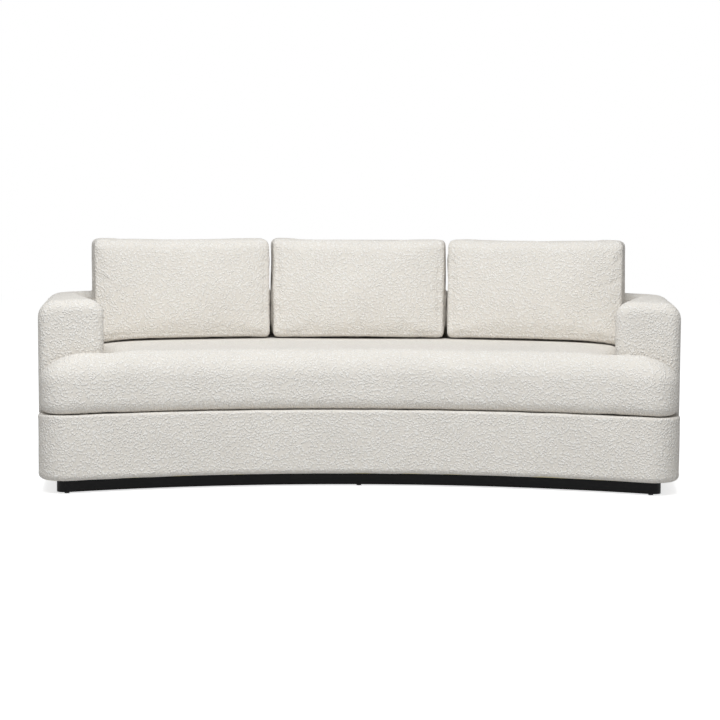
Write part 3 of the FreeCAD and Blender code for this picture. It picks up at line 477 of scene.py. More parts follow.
@dataclass
class Plan:
    """The sofa's plan: its arcs, corners and walls, as points and directions seen from above.

    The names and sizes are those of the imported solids, in metres and degrees. The centre line's place
    comes from the frame. The runs are rough lengths, and only set how finely a wall is divided: front,
    front corner, side, rear corner and back, and then those of the arch along the arm and the back. The
    bends are the counts of points in the runs round the arch's rear corner: outside, round the corner and
    along the back, and inside, along the arm and round the corner.
    """

    front_radius: float = 2.444
    half_width: float = 1.092
    corner_radius: float = 0.090
    side_splay: float = 7.0
    rear_corner_radius: float = 0.240
    seat_depth: float = 0.590
    back_cushion_depth: float = 0.185
    back_thickness: float = 0.125
    arm_width: float = 0.222
    arm_splay: float = 15.0
    arm_front_turn: float = 11.0
    ear_depth: float = 0.105
    inner_corner_radius: float = 0.058
    fall: float = 0.025
    fall_reach: float = 0.100
    fall_start: float = 0.140
    step: float = 0.005
    outline_runs: tuple[float, ...] = (1.05, 0.14, 0.62, 0.36, 0.98)
    arch_runs: tuple[float, float] = (0.6, 1.03)
    arch_bends: tuple[int, ...] = (60, 8, 20, 40)

    def __post_init__(self) -> None:
        """Work out the corners, walls and directions."""
        self.back_inside = self.front_radius + self.seat_depth + self.back_cushion_depth
        self.back_outside = self.back_inside + self.back_thickness
        back_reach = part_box("back_cover")[1].y
        self.centre = np.array([0.0, back_reach - self.back_outside])
        self.side_out = turned((1, 0), -self.side_splay)
        self.side_back = turned((0, 1), -self.side_splay)
        self.arm_out = turned((1, 0), -self.arm_splay)
        self.arm_back = turned((0, 1), -self.arm_splay)
        self.arm_face_out = turned((0, -1), -self.arm_front_turn)
        corner_x = self.half_width - self.corner_radius
        reach = self.front_radius + self.corner_radius
        self.front_corner = self.centre + [corner_x, math.sqrt(reach**2 - corner_x**2)]
        self.rear_corner = self.on_line_at_reach(
            self.front_corner + self.side_out * (self.corner_radius - self.rear_corner_radius),
            self.side_back,
            self.back_outside - self.rear_corner_radius,
        )
        front_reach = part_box("seat_cover")[0].y
        self.arm_face = np.array([self.half_width, front_reach + self.ear_depth])
        self.arm_inner = crossing(
            np.array([self.half_width - self.arm_width, 0.0]),
            np.array([0.0, 1.0]),
            self.arm_face,
            self.arm_face_out,
        )
        self.inner_corner = self.on_line_at_reach(
            self.arm_inner - self.arm_out * self.inner_corner_radius,
            self.arm_back,
            self.back_inside - self.inner_corner_radius,
        )
        self.side_start = self.front_corner + self.side_out * self.corner_radius
        self.side_end = self.rear_corner + self.side_out * self.rear_corner_radius

    def on_line_at_reach(self, start: np.ndarray, along: np.ndarray, reach: float) -> np.ndarray:
        """The point of a line, forwards from its start, that lies at a distance from the centre line."""
        way = start - self.centre
        ahead = way @ along
        return start + along * (math.sqrt(ahead**2 - way @ way + reach**2) - ahead)

    def at(self, reach: float, toward: np.ndarray) -> np.ndarray:
        """The point at a distance from the centre line, in the direction of another point."""
        return self.centre + unit(toward - self.centre) * reach

    def middle_at(self, reach: float) -> np.ndarray:
        """The point on the sofa's middle line at a distance from the centre line."""
        return self.centre + [0.0, reach]

    def fall_beside_arm(self, points: np.ndarray) -> np.ndarray:
        """How far the seat's top falls near the arms.

        The fall dies away exponentially with the distance from each arm's inner wall, and it grows from
        nothing at the arm's face to its whole depth behind it, by a smooth step.
        """
        right = np.abs(points[:, :1]) * [1, 0] + points[:, 1:2] * [0, 1]
        inside = np.maximum(-(right - self.arm_inner) @ self.arm_out, 0)
        behind = np.clip(-(right - self.arm_face) @ self.arm_face_out / self.fall_start, 0, 1)
        return self.fall * np.exp(-inside / self.fall_reach) * behind**2 * (3 - 2 * behind)

    def base_outline(self, inset: float) -> np.ndarray:
        """The base in plan, drawn in by an inset: arcs and straight sides, counter-clockwise from the front."""
        front_end = self.at(self.front_radius + inset, self.front_corner)
        side_start = self.front_corner + self.side_out * (self.corner_radius - inset)
        side_end = self.rear_corner + self.side_out * (self.rear_corner_radius - inset)
        back_end = self.at(self.back_outside - inset, self.rear_corner)
        front, front_corner, side, rear_corner, back = (spaced(run, self.step) for run in self.outline_runs)
        half = chain(
            arc(self.centre, self.middle_at(self.front_radius + inset), front_end, front),
            arc(self.front_corner, front_end, side_start, front_corner),
            line(side_start, side_end, side),
            arc(self.rear_corner, side_end, back_end, rear_corner),
            arc(self.centre, back_end, self.middle_at(self.back_outside - inset), back),
        )
        return both_sides(half)

    def arch_walls(self) -> tuple[np.ndarray, np.ndarray, int]:
        """Stations along the right arm and half of the back: matching points of the two walls.

        Returns:
            The outer points and the inner points, from the arm's face to the back's middle, and the row of
            the seam where the arm's cover meets the back's.
        """
        face = self.arm_face
        outer_front = crossing(self.side_start, self.side_back, face, self.arm_face_out)
        inner_front = crossing(self.arm_inner, self.arm_back, face, self.arm_face_out)
        seam_inner = crossing(self.arm_inner, self.arm_back, self.side_end, self.side_back)
        inner_end = self.inner_corner + self.arm_out * self.inner_corner_radius
        back_end = self.at(self.back_outside, self.rear_corner)
        inside_end = self.at(self.back_inside, self.inner_corner)
        outer_end = self.at(self.back_outside, self.inner_corner)
        arm_rows, back_rows = (spaced(run, self.step * 2) for run in self.arch_runs)
        outer_arm = line(outer_front, self.side_end, arm_rows)
        inner_arm = line(inner_front, seam_inner, arm_rows)
        outer_bend, outer_run, inner_run, inner_bend = self.arch_bends
        outer_corner = chain(
            arc(self.rear_corner, self.side_end, back_end, outer_bend),
            arc(self.centre, back_end, outer_end, outer_run),
        )
        inner_corner = chain(
            line(seam_inner, inner_end, inner_run),
            arc(self.inner_corner, inner_end, inside_end, inner_bend),
        )
        shares = np.linspace(0, 1, spaced(self.outline_runs[3], self.step))
        outer_corner = resampled(outer_corner, shares)
        inner_corner = resampled(inner_corner, shares)
        outer_back = arc(self.centre, outer_end, self.middle_at(self.back_outside), back_rows)
        inner_back = arc(self.centre, inside_end, self.middle_at(self.back_inside), back_rows)
        outer = chain(outer_arm, outer_corner, outer_back)
        inner = chain(inner_arm, inner_corner, inner_back)
        return outer, inner, arm_rows - 1


@dataclass
class BaseUpholstery:
    """The upholstered base: padding round the frame under one cover, drawn down tight to the plinth."""

    plan: Plan
    foot_round: float = 0.020
    top_round: float = 0.008
    cover: float = 0.004
    hem: float = 0.060
    deck_lap: float = 0.002
    sink: float = 0.0012
    swell: float = 0.0008
    most_swell: float = 0.0006
    swell_wave: float = 0.13
    swell_seed: int = 11
    edge_points: int = 7
    side_points: int = 18
    deck_rows: int = 60
    deck_columns: int = 120

    def make(self, cloth: bpy.types.Material) -> bpy.types.Object:
        """Build the base's cover.

        A closed profile of inset and height runs round the base outline: out along the underside, up the
        rolled foot, the side and the rolled top edge, in over the deck, and back inside the cover.

        Args:
            cloth: The cover's material.

        Returns:
            The piece.
        """
        low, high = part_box("base_cover")
        bottom, top = low.z, high.z
        quarter = np.linspace(0, math.pi / 2, self.edge_points)
        foot, edge = self.foot_round, self.top_round
        sides = np.linspace(bottom + foot, top - edge, self.side_points)[1:-1]
        middle = (bottom + top) / 2
        bulge = self.sink * (1 - ((sides - middle) / (top - bottom) * 2) ** 2)
        outside = np.concatenate(
            [
                [[self.hem, bottom]],
                np.stack([foot * (1 - np.sin(quarter)), bottom + foot * (1 - np.cos(quarter))], 1),
                np.stack([self.sink - bulge, sides], 1),
                np.stack([edge * (1 - np.cos(quarter)), top - edge * (1 - np.sin(quarter))], 1),
                [[self.hem, top]],
            ]
        )
        cover = self.cover
        under = [[self.hem, top - cover], [foot, top - cover], [cover, top - foot]]
        over = [[cover, bottom + foot], [foot, bottom + cover], [self.hem, bottom + cover]]
        profile = np.concatenate([outside, under, over])
        grid = np.stack([at_height(self.plan.base_outline(inset), height) for inset, height in profile])
        piece = mesh_of("base_upholstery", grid, closed=True)
        mesh = piece.data
        points = points_of(mesh)
        swell = ripple(points, self.swell_wave, self.swell_seed) * self.swell
        move_points(mesh, points + normals_of(mesh) * np.minimum(swell, self.most_swell)[:, None])
        wear(piece, cloth)
        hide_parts("base_cover")
        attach(piece, "frame")
        return piece

    def make_deck(self, cloth: bpy.types.Material) -> bpy.types.Object:
        """Build the deck's cloth, which spans from the base's front to its back under the seat cushion."""
        edge = self.plan.base_outline(self.hem - self.deck_lap)
        right = edge[: len(edge) // 2 + 1]
        widest = int(np.argmax(right[:, 0]))
        shares = np.linspace(0, 1, self.deck_columns)
        front = resampled(right[: widest + 1], shares)
        back = resampled(right[widest:][::-1], shares)
        rows = front + (back - front) * np.linspace(0, 1, self.deck_rows)[:, None, None]
        whole = np.concatenate([rows[:, :0:-1] * [-1, 1], rows], 1)
        height = np.full(whole.shape[:2] + (1,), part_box("base_cover")[1].z - 0.1 * self.cover)
        piece = mesh_of("deck_lining", np.concatenate([whole, height], 2), closed=False)
        turn_shell_out(piece.data)
        thicken(piece, 0.8 * self.cover)
        wear(piece, cloth)
        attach(piece, "frame")
        return piece


def turn_faces_out(mesh: bpy.types.Mesh) -> None:
    """Recalculate a closed mesh's normals, after its doubles are merged."""
    work = bmesh.new()
    work.from_mesh(mesh)
    bmesh.ops.recalc_face_normals(work, faces=work.faces)
    work.to_mesh(mesh)
    work.free()
    mesh.shade_smooth()


@dataclass
class ArmsAndBack:
    """The padded shell of arms and back: one arch-shaped section, carried along an arm and round the back."""

    plan: Plan
    outer_shoulder: float = 0.060
    inner_shoulder: float = 0.052
    least_shoulder: float = 0.012
    front_round: float = 0.040
    wall_start: float = 1.05
    cover: float = 0.004
    uneven: float = 0.0016
    uneven_wave: float = 0.19
    uneven_seed: int = 23
    wall_points: int = 22
    shoulder_points: int = 10
    top_points: int = 12
    cap_rows: int = 15
    round_rows: int = 12

    def section(self, width: np.ndarray, inset: np.ndarray, low: float, high: float) -> np.ndarray:
        """The arch-shaped section, as distance across and height, for each station.

        It runs up the outer wall, over the outer shoulder's quarter circle, across the flat top, over the
        inner shoulder and down the inner wall.

        Args:
            width: Distance from the outer to the inner wall at each station.
            inset: How far the section is drawn in at each station.
            low: Height of the lower edge.
            high: Height of the top.

        Returns:
            Stations by points by 2: distance from the outer wall, and height.
        """
        width = width[:, None]
        inset = inset[:, None]
        room = np.maximum(width / 2 - inset, 0)
        outer = np.minimum(np.maximum(self.outer_shoulder - inset, self.least_shoulder), room)
        inner = np.minimum(np.maximum(self.inner_shoulder - inset, self.least_shoulder), room)
        top = high - inset
        wall = np.linspace(0, 1, self.wall_points)[None, :]
        rise = wall[:, :-1]
        turn = np.linspace(0, math.pi / 2, self.shoulder_points)[None, :]
        flat = np.linspace(0, 1, self.top_points)[None, 1:-1]
        walls = np.ones_like(rise)
        up = low + (top - outer - low) * rise
        down = top - inner - (top - inner - low) * wall[:, 1:]
        start = inset + outer
        end = width - inset - inner
        across = np.concatenate(
            [
                inset * walls,
                inset + outer * (1 - np.cos(turn)),
                start + (end - start) * flat,
                end + inner * np.sin(turn),
                (width - inset) * walls,
            ],
            1,
        )
        height = np.concatenate(
            [
                up,
                top - outer * (1 - np.sin(turn)),
                top * np.ones_like(flat),
                top - inner * (1 - np.cos(turn)),
                down,
            ],
            1,
        )
        return np.stack([across, height], 2)

    def half_shell(self) -> tuple[np.ndarray, int]:
        """Points of the right half of the shell, as stations by points of the section, front first.

        The arm's front is a cap: its stations go out from the spine of the section to its edge, and the edge
        turns through a quarter circle into the walls.

        Returns:
            The points, and the row of the seam.
        """
        plan = self.plan
        low, high = (corner.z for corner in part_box("back_cover"))
        outer, inner, seam = plan.arch_walls()
        behind = np.linalg.norm(outer - outer[0], axis=1) > self.front_round * self.wall_start
        outer, inner = outer[behind], inner[behind]
        seam -= int(np.argmax(behind))
        across = inner - outer
        width = np.linalg.norm(across, axis=1)
        shape = self.section(width, np.zeros(len(width)), low, high)
        plan_points = outer[:, None] + across[:, None] * (shape[:, :, :1] / width[:, None, None])
        walls = np.concatenate([plan_points, shape[:, :, 1:]], 2)
        back_from_face = -plan.arm_face_out
        angles = np.linspace(0, math.pi / 2, self.round_rows)
        spine = np.linspace(1.0, 0.0, self.cap_rows + 1)[:-1]
        flat = np.zeros(self.cap_rows)
        insets = np.append(flat + self.front_round, self.front_round * (1 - np.sin(angles)))
        depths = np.append(flat, self.front_round * (1 - np.cos(angles)))
        inwards = np.append(spine, np.zeros(self.round_rows))
        rows = []
        for inset, depth, share in zip(insets, depths, inwards):
            face = plan.arm_face + back_from_face * depth
            left = crossing(plan.side_start, plan.side_back, face, plan.arm_face_out)
            right = crossing(plan.arm_inner, plan.arm_back, face, plan.arm_face_out)
            span = np.linalg.norm(right - left)
            inset += (span / 2 - inset) * share
            ring = self.section(np.array([span]), np.array([inset]), low, high)[0]
            ring_plan = left + (right - left) * (ring[:, :1] / span)
            rows.append(np.column_stack([ring_plan, ring[:, 1]]))
        front = np.stack(rows)
        return np.concatenate([front, walls]), seam + len(front)

    def make(self, cloth: bpy.types.Material) -> list[bpy.types.Object]:
        """Build the covers of the two arms and of the back between them, which meet in a sewn seam.

        Args:
            cloth: The covers' material.

        Returns:
            The three pieces.
        """
        half, seam = self.half_shell()
        unevenness = ripple(half.reshape(-1, 3), self.uneven_wave, self.uneven_seed).reshape(half.shape[:2])
        right = self.bulged(half, unevenness)
        left = self.bulged(half * [-1, 1, 1], unevenness)
        pieces = []
        for name, grid, node in (
            ("arm_upholstery_right", right[: seam + 1], "arm_cover_right"),
            ("arm_upholstery_left", left[: seam + 1], "arm_cover_left"),
            ("back_upholstery", np.concatenate([right[seam:-1], left[seam:][::-1]]), "back_cover"),
        ):
            piece = mesh_of(name, grid, closed=False)
            turn_shell_out(piece.data)
            thicken(piece, self.cover)
            wear(piece, cloth)
            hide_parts(node)
            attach(piece, "frame")
            pieces.append(piece)
        return pieces

    def bulged(self, grid: np.ndarray, unevenness: np.ndarray) -> np.ndarray:
        """Let the padding stand out unevenly, by up to 2 mm on the top, as padding under cloth does."""
        low, high = grid[..., 2].min(), grid[..., 2].max()
        share = np.clip((grid[..., 2] - low) / (high - low), 0, 1)
        lifted = grid.copy()
        lifted[..., 2] += self.uneven * (unevenness - 1) * share**4
        return lifted


def thicken(piece: bpy.types.Object, thickness: float) -> None:
    """Give an open shell its cloth's thickness, inwards."""
    wall = piece.modifiers.new("cover", "SOLIDIFY")
    wall.thickness = thickness
    wall.offset = -1
    with_modifiers_applied(piece)
    piece.data.shade_smooth()


def turn_shell_out(mesh: bpy.types.Mesh) -> None:
    """Face an open shell outwards: recalculate its normals, then flip it if its top faces down."""
    turn_faces_out(mesh)
    normals = normals_of(mesh)
    points = points_of(mesh)
    top = points[:, 2] > points[:, 2].max() - 0.01
    if normals[top, 2].mean() < 0:
        mesh.flip_normals()


def loft(name: str, rings: np.ndarray) -> bpy.types.Object:
    """Make a closed form through rings of points, from low to high, with a flat face at each end."""
    count, size = rings.shape[:2]
    index = np.arange(count * size).reshape(count, size)
    ahead = np.roll(index, -1, 1)
    quads = np.stack([index[:-1], ahead[:-1], ahead[1:], index[1:]], -1).reshape(-1, 4).tolist()
    return linked_mesh(name, rings.reshape(-1, 3), quads + [index[0, ::-1].tolist(), index[-1].tolist()])


@dataclass(frozen=True)
class Stuffing:
    """How a cushion is filled out by cloth simulation, from its mesh's voxel to how far a point may move."""

    voxel: float
    cap: float
    pressure: float = 4.0
    frames: int = 20
    quality: int = 5
    mass: float = 0.3
    stiffness: float = 12
    bending: float = 2

    def fill(self, piece: bpy.types.Object) -> None:
        """Remesh a form evenly, swell it under pressure without gravity, and subdivide it once."""
        remesh = piece.modifiers.new("remesh", "REMESH")
        remesh.mode = "VOXEL"
        remesh.voxel_size = self.voxel
        with_modifiers_applied(piece)
        start = points_of(piece.data)
        cloth = piece.modifiers.new("cloth", "CLOTH").settings
        cloth.quality = self.quality
        cloth.mass = self.mass
        cloth.tension_stiffness = self.stiffness
        cloth.compression_stiffness = self.stiffness
        cloth.bending_stiffness = self.bending
        cloth.use_pressure = True
        cloth.uniform_pressure_force = self.pressure
        cloth.effector_weights.gravity = 0
        scene = bpy.context.scene
        for step in range(1, self.frames + 1):
            scene.frame_set(step)
        with_modifiers_applied(piece)
        scene.frame_set(1)
        way = points_of(piece.data) - start
        way -= way.mean(0)
        length = np.linalg.norm(way, axis=1, keepdims=True)
        way *= np.minimum(1, self.cap / np.maximum(length, 1e-9))
        move_points(piece.data, start + way)
        smooth = piece.modifiers.new("smooth", "SUBSURF")
        smooth.levels = 1
        smooth.render_levels = 1
        with_modifiers_applied(piece)
        piece.data.shade_smooth()


def groove(distance: np.ndarray, depth: float, width: float = 0.005) -> np.ndarray:
    """Depth of a sewn seam's groove at distances from its line: a smooth bell."""
    return depth * np.exp(-((distance / width) ** 2))


@dataclass
class SeatCushion:
    """The bench seat cushion, with an ear in front of each arm: rolled below, and crowned above."""

    plan: Plan
    proud: float = 0.006
    gap: float = 0.003
    foot_round: float = 0.042
    side_share: float = 0.2
    ear_round: float = 0.009
    crown_rise: float = 0.092
    front_run: float = 0.095
    end_run: float = 0.190
    side_run: float = 0.060
    ear_run: float = 0.008
    slack: float = 0.003
    foot_turn: float = 20.0
    crown_turn: float = 70.0
    floor_gap: float = 0.0005
    uneven: float = 0.0022
    uneven_wave: float = 0.28
    uneven_seed: int = 5
    settle: float = 0.0012
    firm: float = 0.25
    long_points: int = 100
    corner_points: tuple[int, int, int] = (16, 12, 6)
    foot_rings: int = 8
    crown_rings: int = 12
    stuffing: Stuffing = Stuffing(voxel=0.014, cap=0.008)

    def outline(self, front: float, end: float, ear: float, side: float) -> np.ndarray:
        """The cushion in plan, drawn in by amounts at its front, its ends, its ears' backs and its sides."""
        plan = self.plan
        radius = plan.corner_radius + self.proud - self.ear_round - front - ear
        corner = plan.on_line_at_reach(
            plan.side_start + plan.side_out * (self.proud - end - radius),
            plan.side_back,
            plan.front_radius - self.proud + front + radius,
        )
        front_end = plan.at(plan.front_radius - self.proud + front, corner)
        ear_start = corner + plan.side_out * radius
        face = plan.arm_face + plan.arm_face_out * (self.gap + ear)
        wall = plan.arm_inner - plan.arm_out * (self.gap + side)
        ear_corner = crossing(ear_start, plan.side_back, face, plan.arm_face_out)
        arm_corner = crossing(wall, plan.arm_back, face, plan.arm_face_out)
        wall_end = plan.inner_corner + plan.arm_out * (plan.inner_corner_radius - self.gap - side)
        back_reach = plan.back_inside - self.gap - side
        back_end = plan.at(back_reach, plan.inner_corner)
        many = self.long_points
        round_points, straight, bend = self.corner_points
        half = chain(
            arc(plan.centre, plan.middle_at(plan.front_radius - self.proud + front), front_end, many),
            arc(corner, front_end, ear_start, round_points),
            softened(np.array([ear_start, ear_corner, arm_corner, wall_end]), self.ear_round, straight, bend),
            arc(plan.inner_corner, wall_end, back_end, straight),
            arc(plan.centre, back_end, plan.middle_at(back_reach), many),
        )
        return both_sides(half)

    def make(self, cloth: bpy.types.Material) -> bpy.types.Object:
        """Build the cushion: rings of the outline, a quarter roll below and a flattening curve above."""
        low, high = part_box("seat_cover")
        bottom, top = low.z + self.floor_gap, high.z - self.slack
        rings = []
        for angle in np.radians(np.linspace(self.foot_turn, 90, self.foot_rings)):
            rolled = self.foot_round * (1 - math.sin(angle)) + self.slack
            side = self.foot_round * (1 - math.sin(angle)) * self.side_share + self.slack
            height = bottom + self.foot_round * (math.cos(math.radians(self.foot_turn)) - math.cos(angle))
            rings.append(at_height(self.outline(rolled, rolled, side, side), height))
        last = math.sin(math.radians(self.crown_turn))
        for angle in np.radians(np.linspace(0, self.crown_turn, self.crown_rings)):
            run = 1 - math.cos(angle)
            height = top - self.crown_rise * (1 - math.sin(angle) / last)
            runs = (self.front_run, self.end_run, self.ear_run, self.side_run)
            insets = [reach * run + self.slack for reach in runs]
            rings.append(at_height(self.outline(*insets), height))
        piece = loft("seat_cushion_upholstery", np.stack(rings))
        self.stuffing.fill(piece)
        mesh = piece.data
        points = points_of(mesh)
        swell = self.uneven * ripple(points, self.uneven_wave, self.uneven_seed) - self.settle
        soft = np.clip((points[:, 2] - bottom) / (top - bottom), 0, 1)
        points += normals_of(mesh) * (swell * (self.firm + (1 - self.firm) * soft))[:, None]
        points[:, 2] = np.clip(points[:, 2], low.z + LEAST_GAP, high.z)
        points[:, 2] -= self.plan.fall_beside_arm(points) * soft**3
        move_points(mesh, points)
        wear(piece, cloth)
        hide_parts("seat_cover", "seat_wrap")
        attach(piece, "seat_cushion")
        return piece


def at_height(outline: np.ndarray, height: float) -> np.ndarray:
    """Lift a plan outline to a height."""
    return np.column_stack([outline, np.full(len(outline), height)])


def softened(corners: np.ndarray, cut: float, straight: int, bend: int) -> np.ndarray:
    """Points along a run of corners: straight between them, and a parabola from cut to cut at each."""
    runs = []
    start = corners[0]
    for before, corner, after in zip(corners, corners[1:], corners[2:]):
        first = corner + unit(before - corner) * cut
        last = corner + unit(after - corner) * cut
        t = np.linspace(0, 1, bend)[:, None]
        runs.append(line(start, first, straight))
        runs.append((1 - t) ** 2 * first + 2 * t * (1 - t) * corner + t**2 * last)
        start = last
    runs.append(line(start, corners[-1], straight))
    return chain(*runs)


class Place(Enum):
    """The back cushions, left to right seen from the front, each with the seed of its unevenness."""

    LEFT = ("left", 31)
    MIDDLE = ("middle", 37)
    RIGHT = ("right", 41)


@dataclass
class BackCushion:
    """A loose back cushion: boxed, with a front that swells, sides that draw in and rolled edges."""

    plan: Plan
    place: Place
    gap: float = 0.003
    lean: float = 0.045
    crown: float = 0.026
    roll: float = 0.026
    corner: float = 0.028
    draw: float = 0.002
    slack: float = 0.001
    inner_slack: float = -0.005
    outer_slack: float = 0.022
    middle_share: float = 0.965
    front_corner: float = 0.014
    foot_turn: float = 35.0
    top_turn: float = 10.0
    uneven: float = 0.0024
    uneven_wave: float = 0.2
    settle: float = 0.0012
    most_rise: float = 0.004
    press: float = 0.0018
    firm: float = 0.3
    roll_rings: int = 8
    side_rings: int = 16
    bend_points: int = 10
    face_points: int = 60
    side_points: int = 16
    least_facing: float = 0.55
    facing_run: float = 0.25
    seam: float = 0.024
    seam_depth: float = 0.0016
    stuffing: Stuffing = Stuffing(voxel=0.009, cap=0.007)

    def side_lines(self) -> list[tuple[np.ndarray, np.ndarray, np.ndarray]]:
        """The two lines beside the cushion in plan, as a start, a direction backwards and the way out."""
        plan = self.plan
        reach = plan.back_inside - plan.back_cushion_depth
        beside = plan.on_line_at_reach(plan.arm_inner, plan.arm_back, reach) - plan.centre
        degrees = math.degrees(math.atan2(beside[0], beside[1])) / 3 * self.middle_share
        along = turned((0, 1), -degrees)
        out = turned((1, 0), -degrees)
        flip = np.array([-1, 1])
        if self.place is Place.MIDDLE:
            left = (plan.centre - out * flip * self.gap, along * flip, out * flip)
            return [left, (plan.centre - out * self.gap, along, out)]
        arm = (plan.arm_inner - plan.arm_out * self.gap, plan.arm_back, plan.arm_out)
        return [(plan.centre + out * self.gap, along, -out), arm]

    def outline(self, height_share: float, shift: float) -> np.ndarray:
        """The cushion in plan at a share of its height, drawn in by a shift."""
        plan = self.plan
        swell = 4 * height_share * (1 - height_share)
        front = plan.back_inside - plan.back_cushion_depth + self.lean * height_share + shift
        back = plan.back_inside - self.gap - shift
        middle = self.place is Place.MIDDLE
        (left, left_along, left_out), (right, right_along, right_out) = self.side_lines()
        left = left - left_out * (shift + self.inner_slack)
        right = right - right_out * (shift + (self.inner_slack if middle else self.outer_slack))
        corners = [
            plan.on_line_at_reach(left, left_along, front),
            plan.on_line_at_reach(right, right_along, front),
            plan.on_line_at_reach(right, right_along, back),
            plan.on_line_at_reach(left, left_along, back),
        ]
        outer = self.corner if middle else plan.inner_corner_radius
        cuts = [self.front_corner, self.front_corner, outer, self.corner]
        bows = [self.crown * (1 + swell) / 2, -self.draw, self.draw, -self.draw]
        runs = []
        for index in range(4):
            corner, after, before = corners[index], corners[(index + 1) % 4], corners[index - 1]
            first = corner + unit(before - corner) * cuts[index]
            last = corner + unit(after - corner) * cuts[index]
            following = after + unit(corner - after) * cuts[(index + 1) % 4]
            t = np.linspace(0, 1, self.bend_points)[:-1, None]
            runs.append((1 - t) ** 2 * first + 2 * t * (1 - t) * corner + t**2 * last)
            along = unit(following - last)
            aside = np.array([along[1], -along[0]])
            t = np.linspace(0, 1, self.side_points if index % 2 else self.face_points)[:-1, None]
            runs.append(last + (following - last) * t + aside * bows[index] * 4 * t * (1 - t))
        return np.concatenate(runs)

    def make(self, cloth: bpy.types.Material) -> bpy.types.Object:
        """Build the cushion, fill it out and draw in its seams round the front and back faces."""
        name, seed = self.place.value
        low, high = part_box(f"back_cushion_cover_{name}")
        bottom, top = low.z + self.slack, high.z - self.slack
        below, above = np.radians(np.linspace([self.foot_turn, self.top_turn], 90, self.roll_rings)).T
        low_rise = self.roll * (math.cos(below[0]) - np.cos(below))
        high_rise = self.roll * (math.cos(above[0]) - np.cos(above))
        sides = np.linspace(bottom + low_rise[-1], top - high_rise[-1], self.side_rings)[1:-1]
        heights = np.concatenate([bottom + low_rise, sides, (top - high_rise)[::-1]])
        drawn = [self.roll * (1 - np.sin(turn)) for turn in (below, above[::-1])]
        shifts = np.concatenate([drawn[0], np.zeros(len(sides)), drawn[1]]) + self.slack
        rings = [
            at_height(self.outline((height - bottom) / (top - bottom), shift), height)
            for height, shift in zip(heights, shifts)
        ]
        grid = np.stack(rings)
        if self.place is Place.LEFT:
            grid = grid[:, ::-1] * [-1, 1, 1]
        piece = loft(f"back_cushion_{name}_upholstery", grid)
        self.stuffing.fill(piece)
        mesh = piece.data
        points = points_of(mesh)
        normals = normals_of(mesh)
        share = np.clip((points[:, 2] - bottom) / (top - bottom), 0, 1)
        swell = self.uneven * ripple(points, self.uneven_wave, seed) - self.settle
        points += normals * (swell * (self.firm + (1 - self.firm) * share))[:, None]
        points = self.between_sides(points)
        points -= normals * self.seam_dip(points, normals, top, bottom)[:, None]
        points[:, 2] = np.clip(points[:, 2], low.z + LEAST_GAP, high.z + self.most_rise)
        points[:, 2] -= self.plan.fall_beside_arm(points) * (1 - share) ** 3
        move_points(mesh, points)
        wear(piece, cloth)
        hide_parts(f"back_cushion_cover_{name}", f"back_cushion_fill_{name}")
        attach(piece, f"back_cushion_{name}")
        return piece

    def on_right(self, plan_points: np.ndarray) -> np.ndarray:
        """The left cushion's places mirrored to the right, where the side lines are, and back again."""
        return plan_points * [-1 if self.place is Place.LEFT else 1, 1]

    def between_sides(self, points: np.ndarray) -> np.ndarray:
        """Press the points that swelled past a side line back to it, so that neighbours touch flat."""
        plan_points = self.on_right(points[:, :2])
        for start, _, out in self.side_lines():
            past = np.maximum((plan_points - start) @ out - self.press, 0)
            plan_points = plan_points - out * past[:, None]
        return np.column_stack([self.on_right(plan_points), points[:, 2]])

    def seam_dip(self, points: np.ndarray, normals: np.ndarray, top: float, bottom: float) -> np.ndarray:
        """Depth of the seam that runs round the front and the back face, inside the rolled edges."""
        plan_points = self.on_right(points[:, :2])
        edges = [-(plan_points - start) @ out for start, _, out in self.side_lines()]
        inside = np.minimum.reduce([top - points[:, 2], points[:, 2] - bottom, *edges])
        outwards = unit(points[:, :2] - self.plan.centre)
        facing = np.abs((normals[:, :2] * outwards).sum(1))
        on_face = np.clip((facing - self.least_facing) / self.facing_run, 0, 1)
        return groove(inside - self.seam, self.seam_depth) * on_face


def seen_directly(tree: bpy.types.NodeTree) -> bpy.types.NodeSocket:
    """1 for what the camera sees, straight, in reflections or through glass, and 0 for other light."""
    path = add_node(tree, "LightPath", {})
    inputs = {0: path.outputs["Is Camera Ray"], 1: path.outputs["Is Glossy Ray"]}
    seen = add_node(tree, "Math", inputs, operation="MAXIMUM")
    inputs = {0: seen.outputs[0], 1: path.outputs["Is Transmission Ray"]}
    return add_node(tree, "Math", inputs, operation="MAXIMUM").outputs[0]


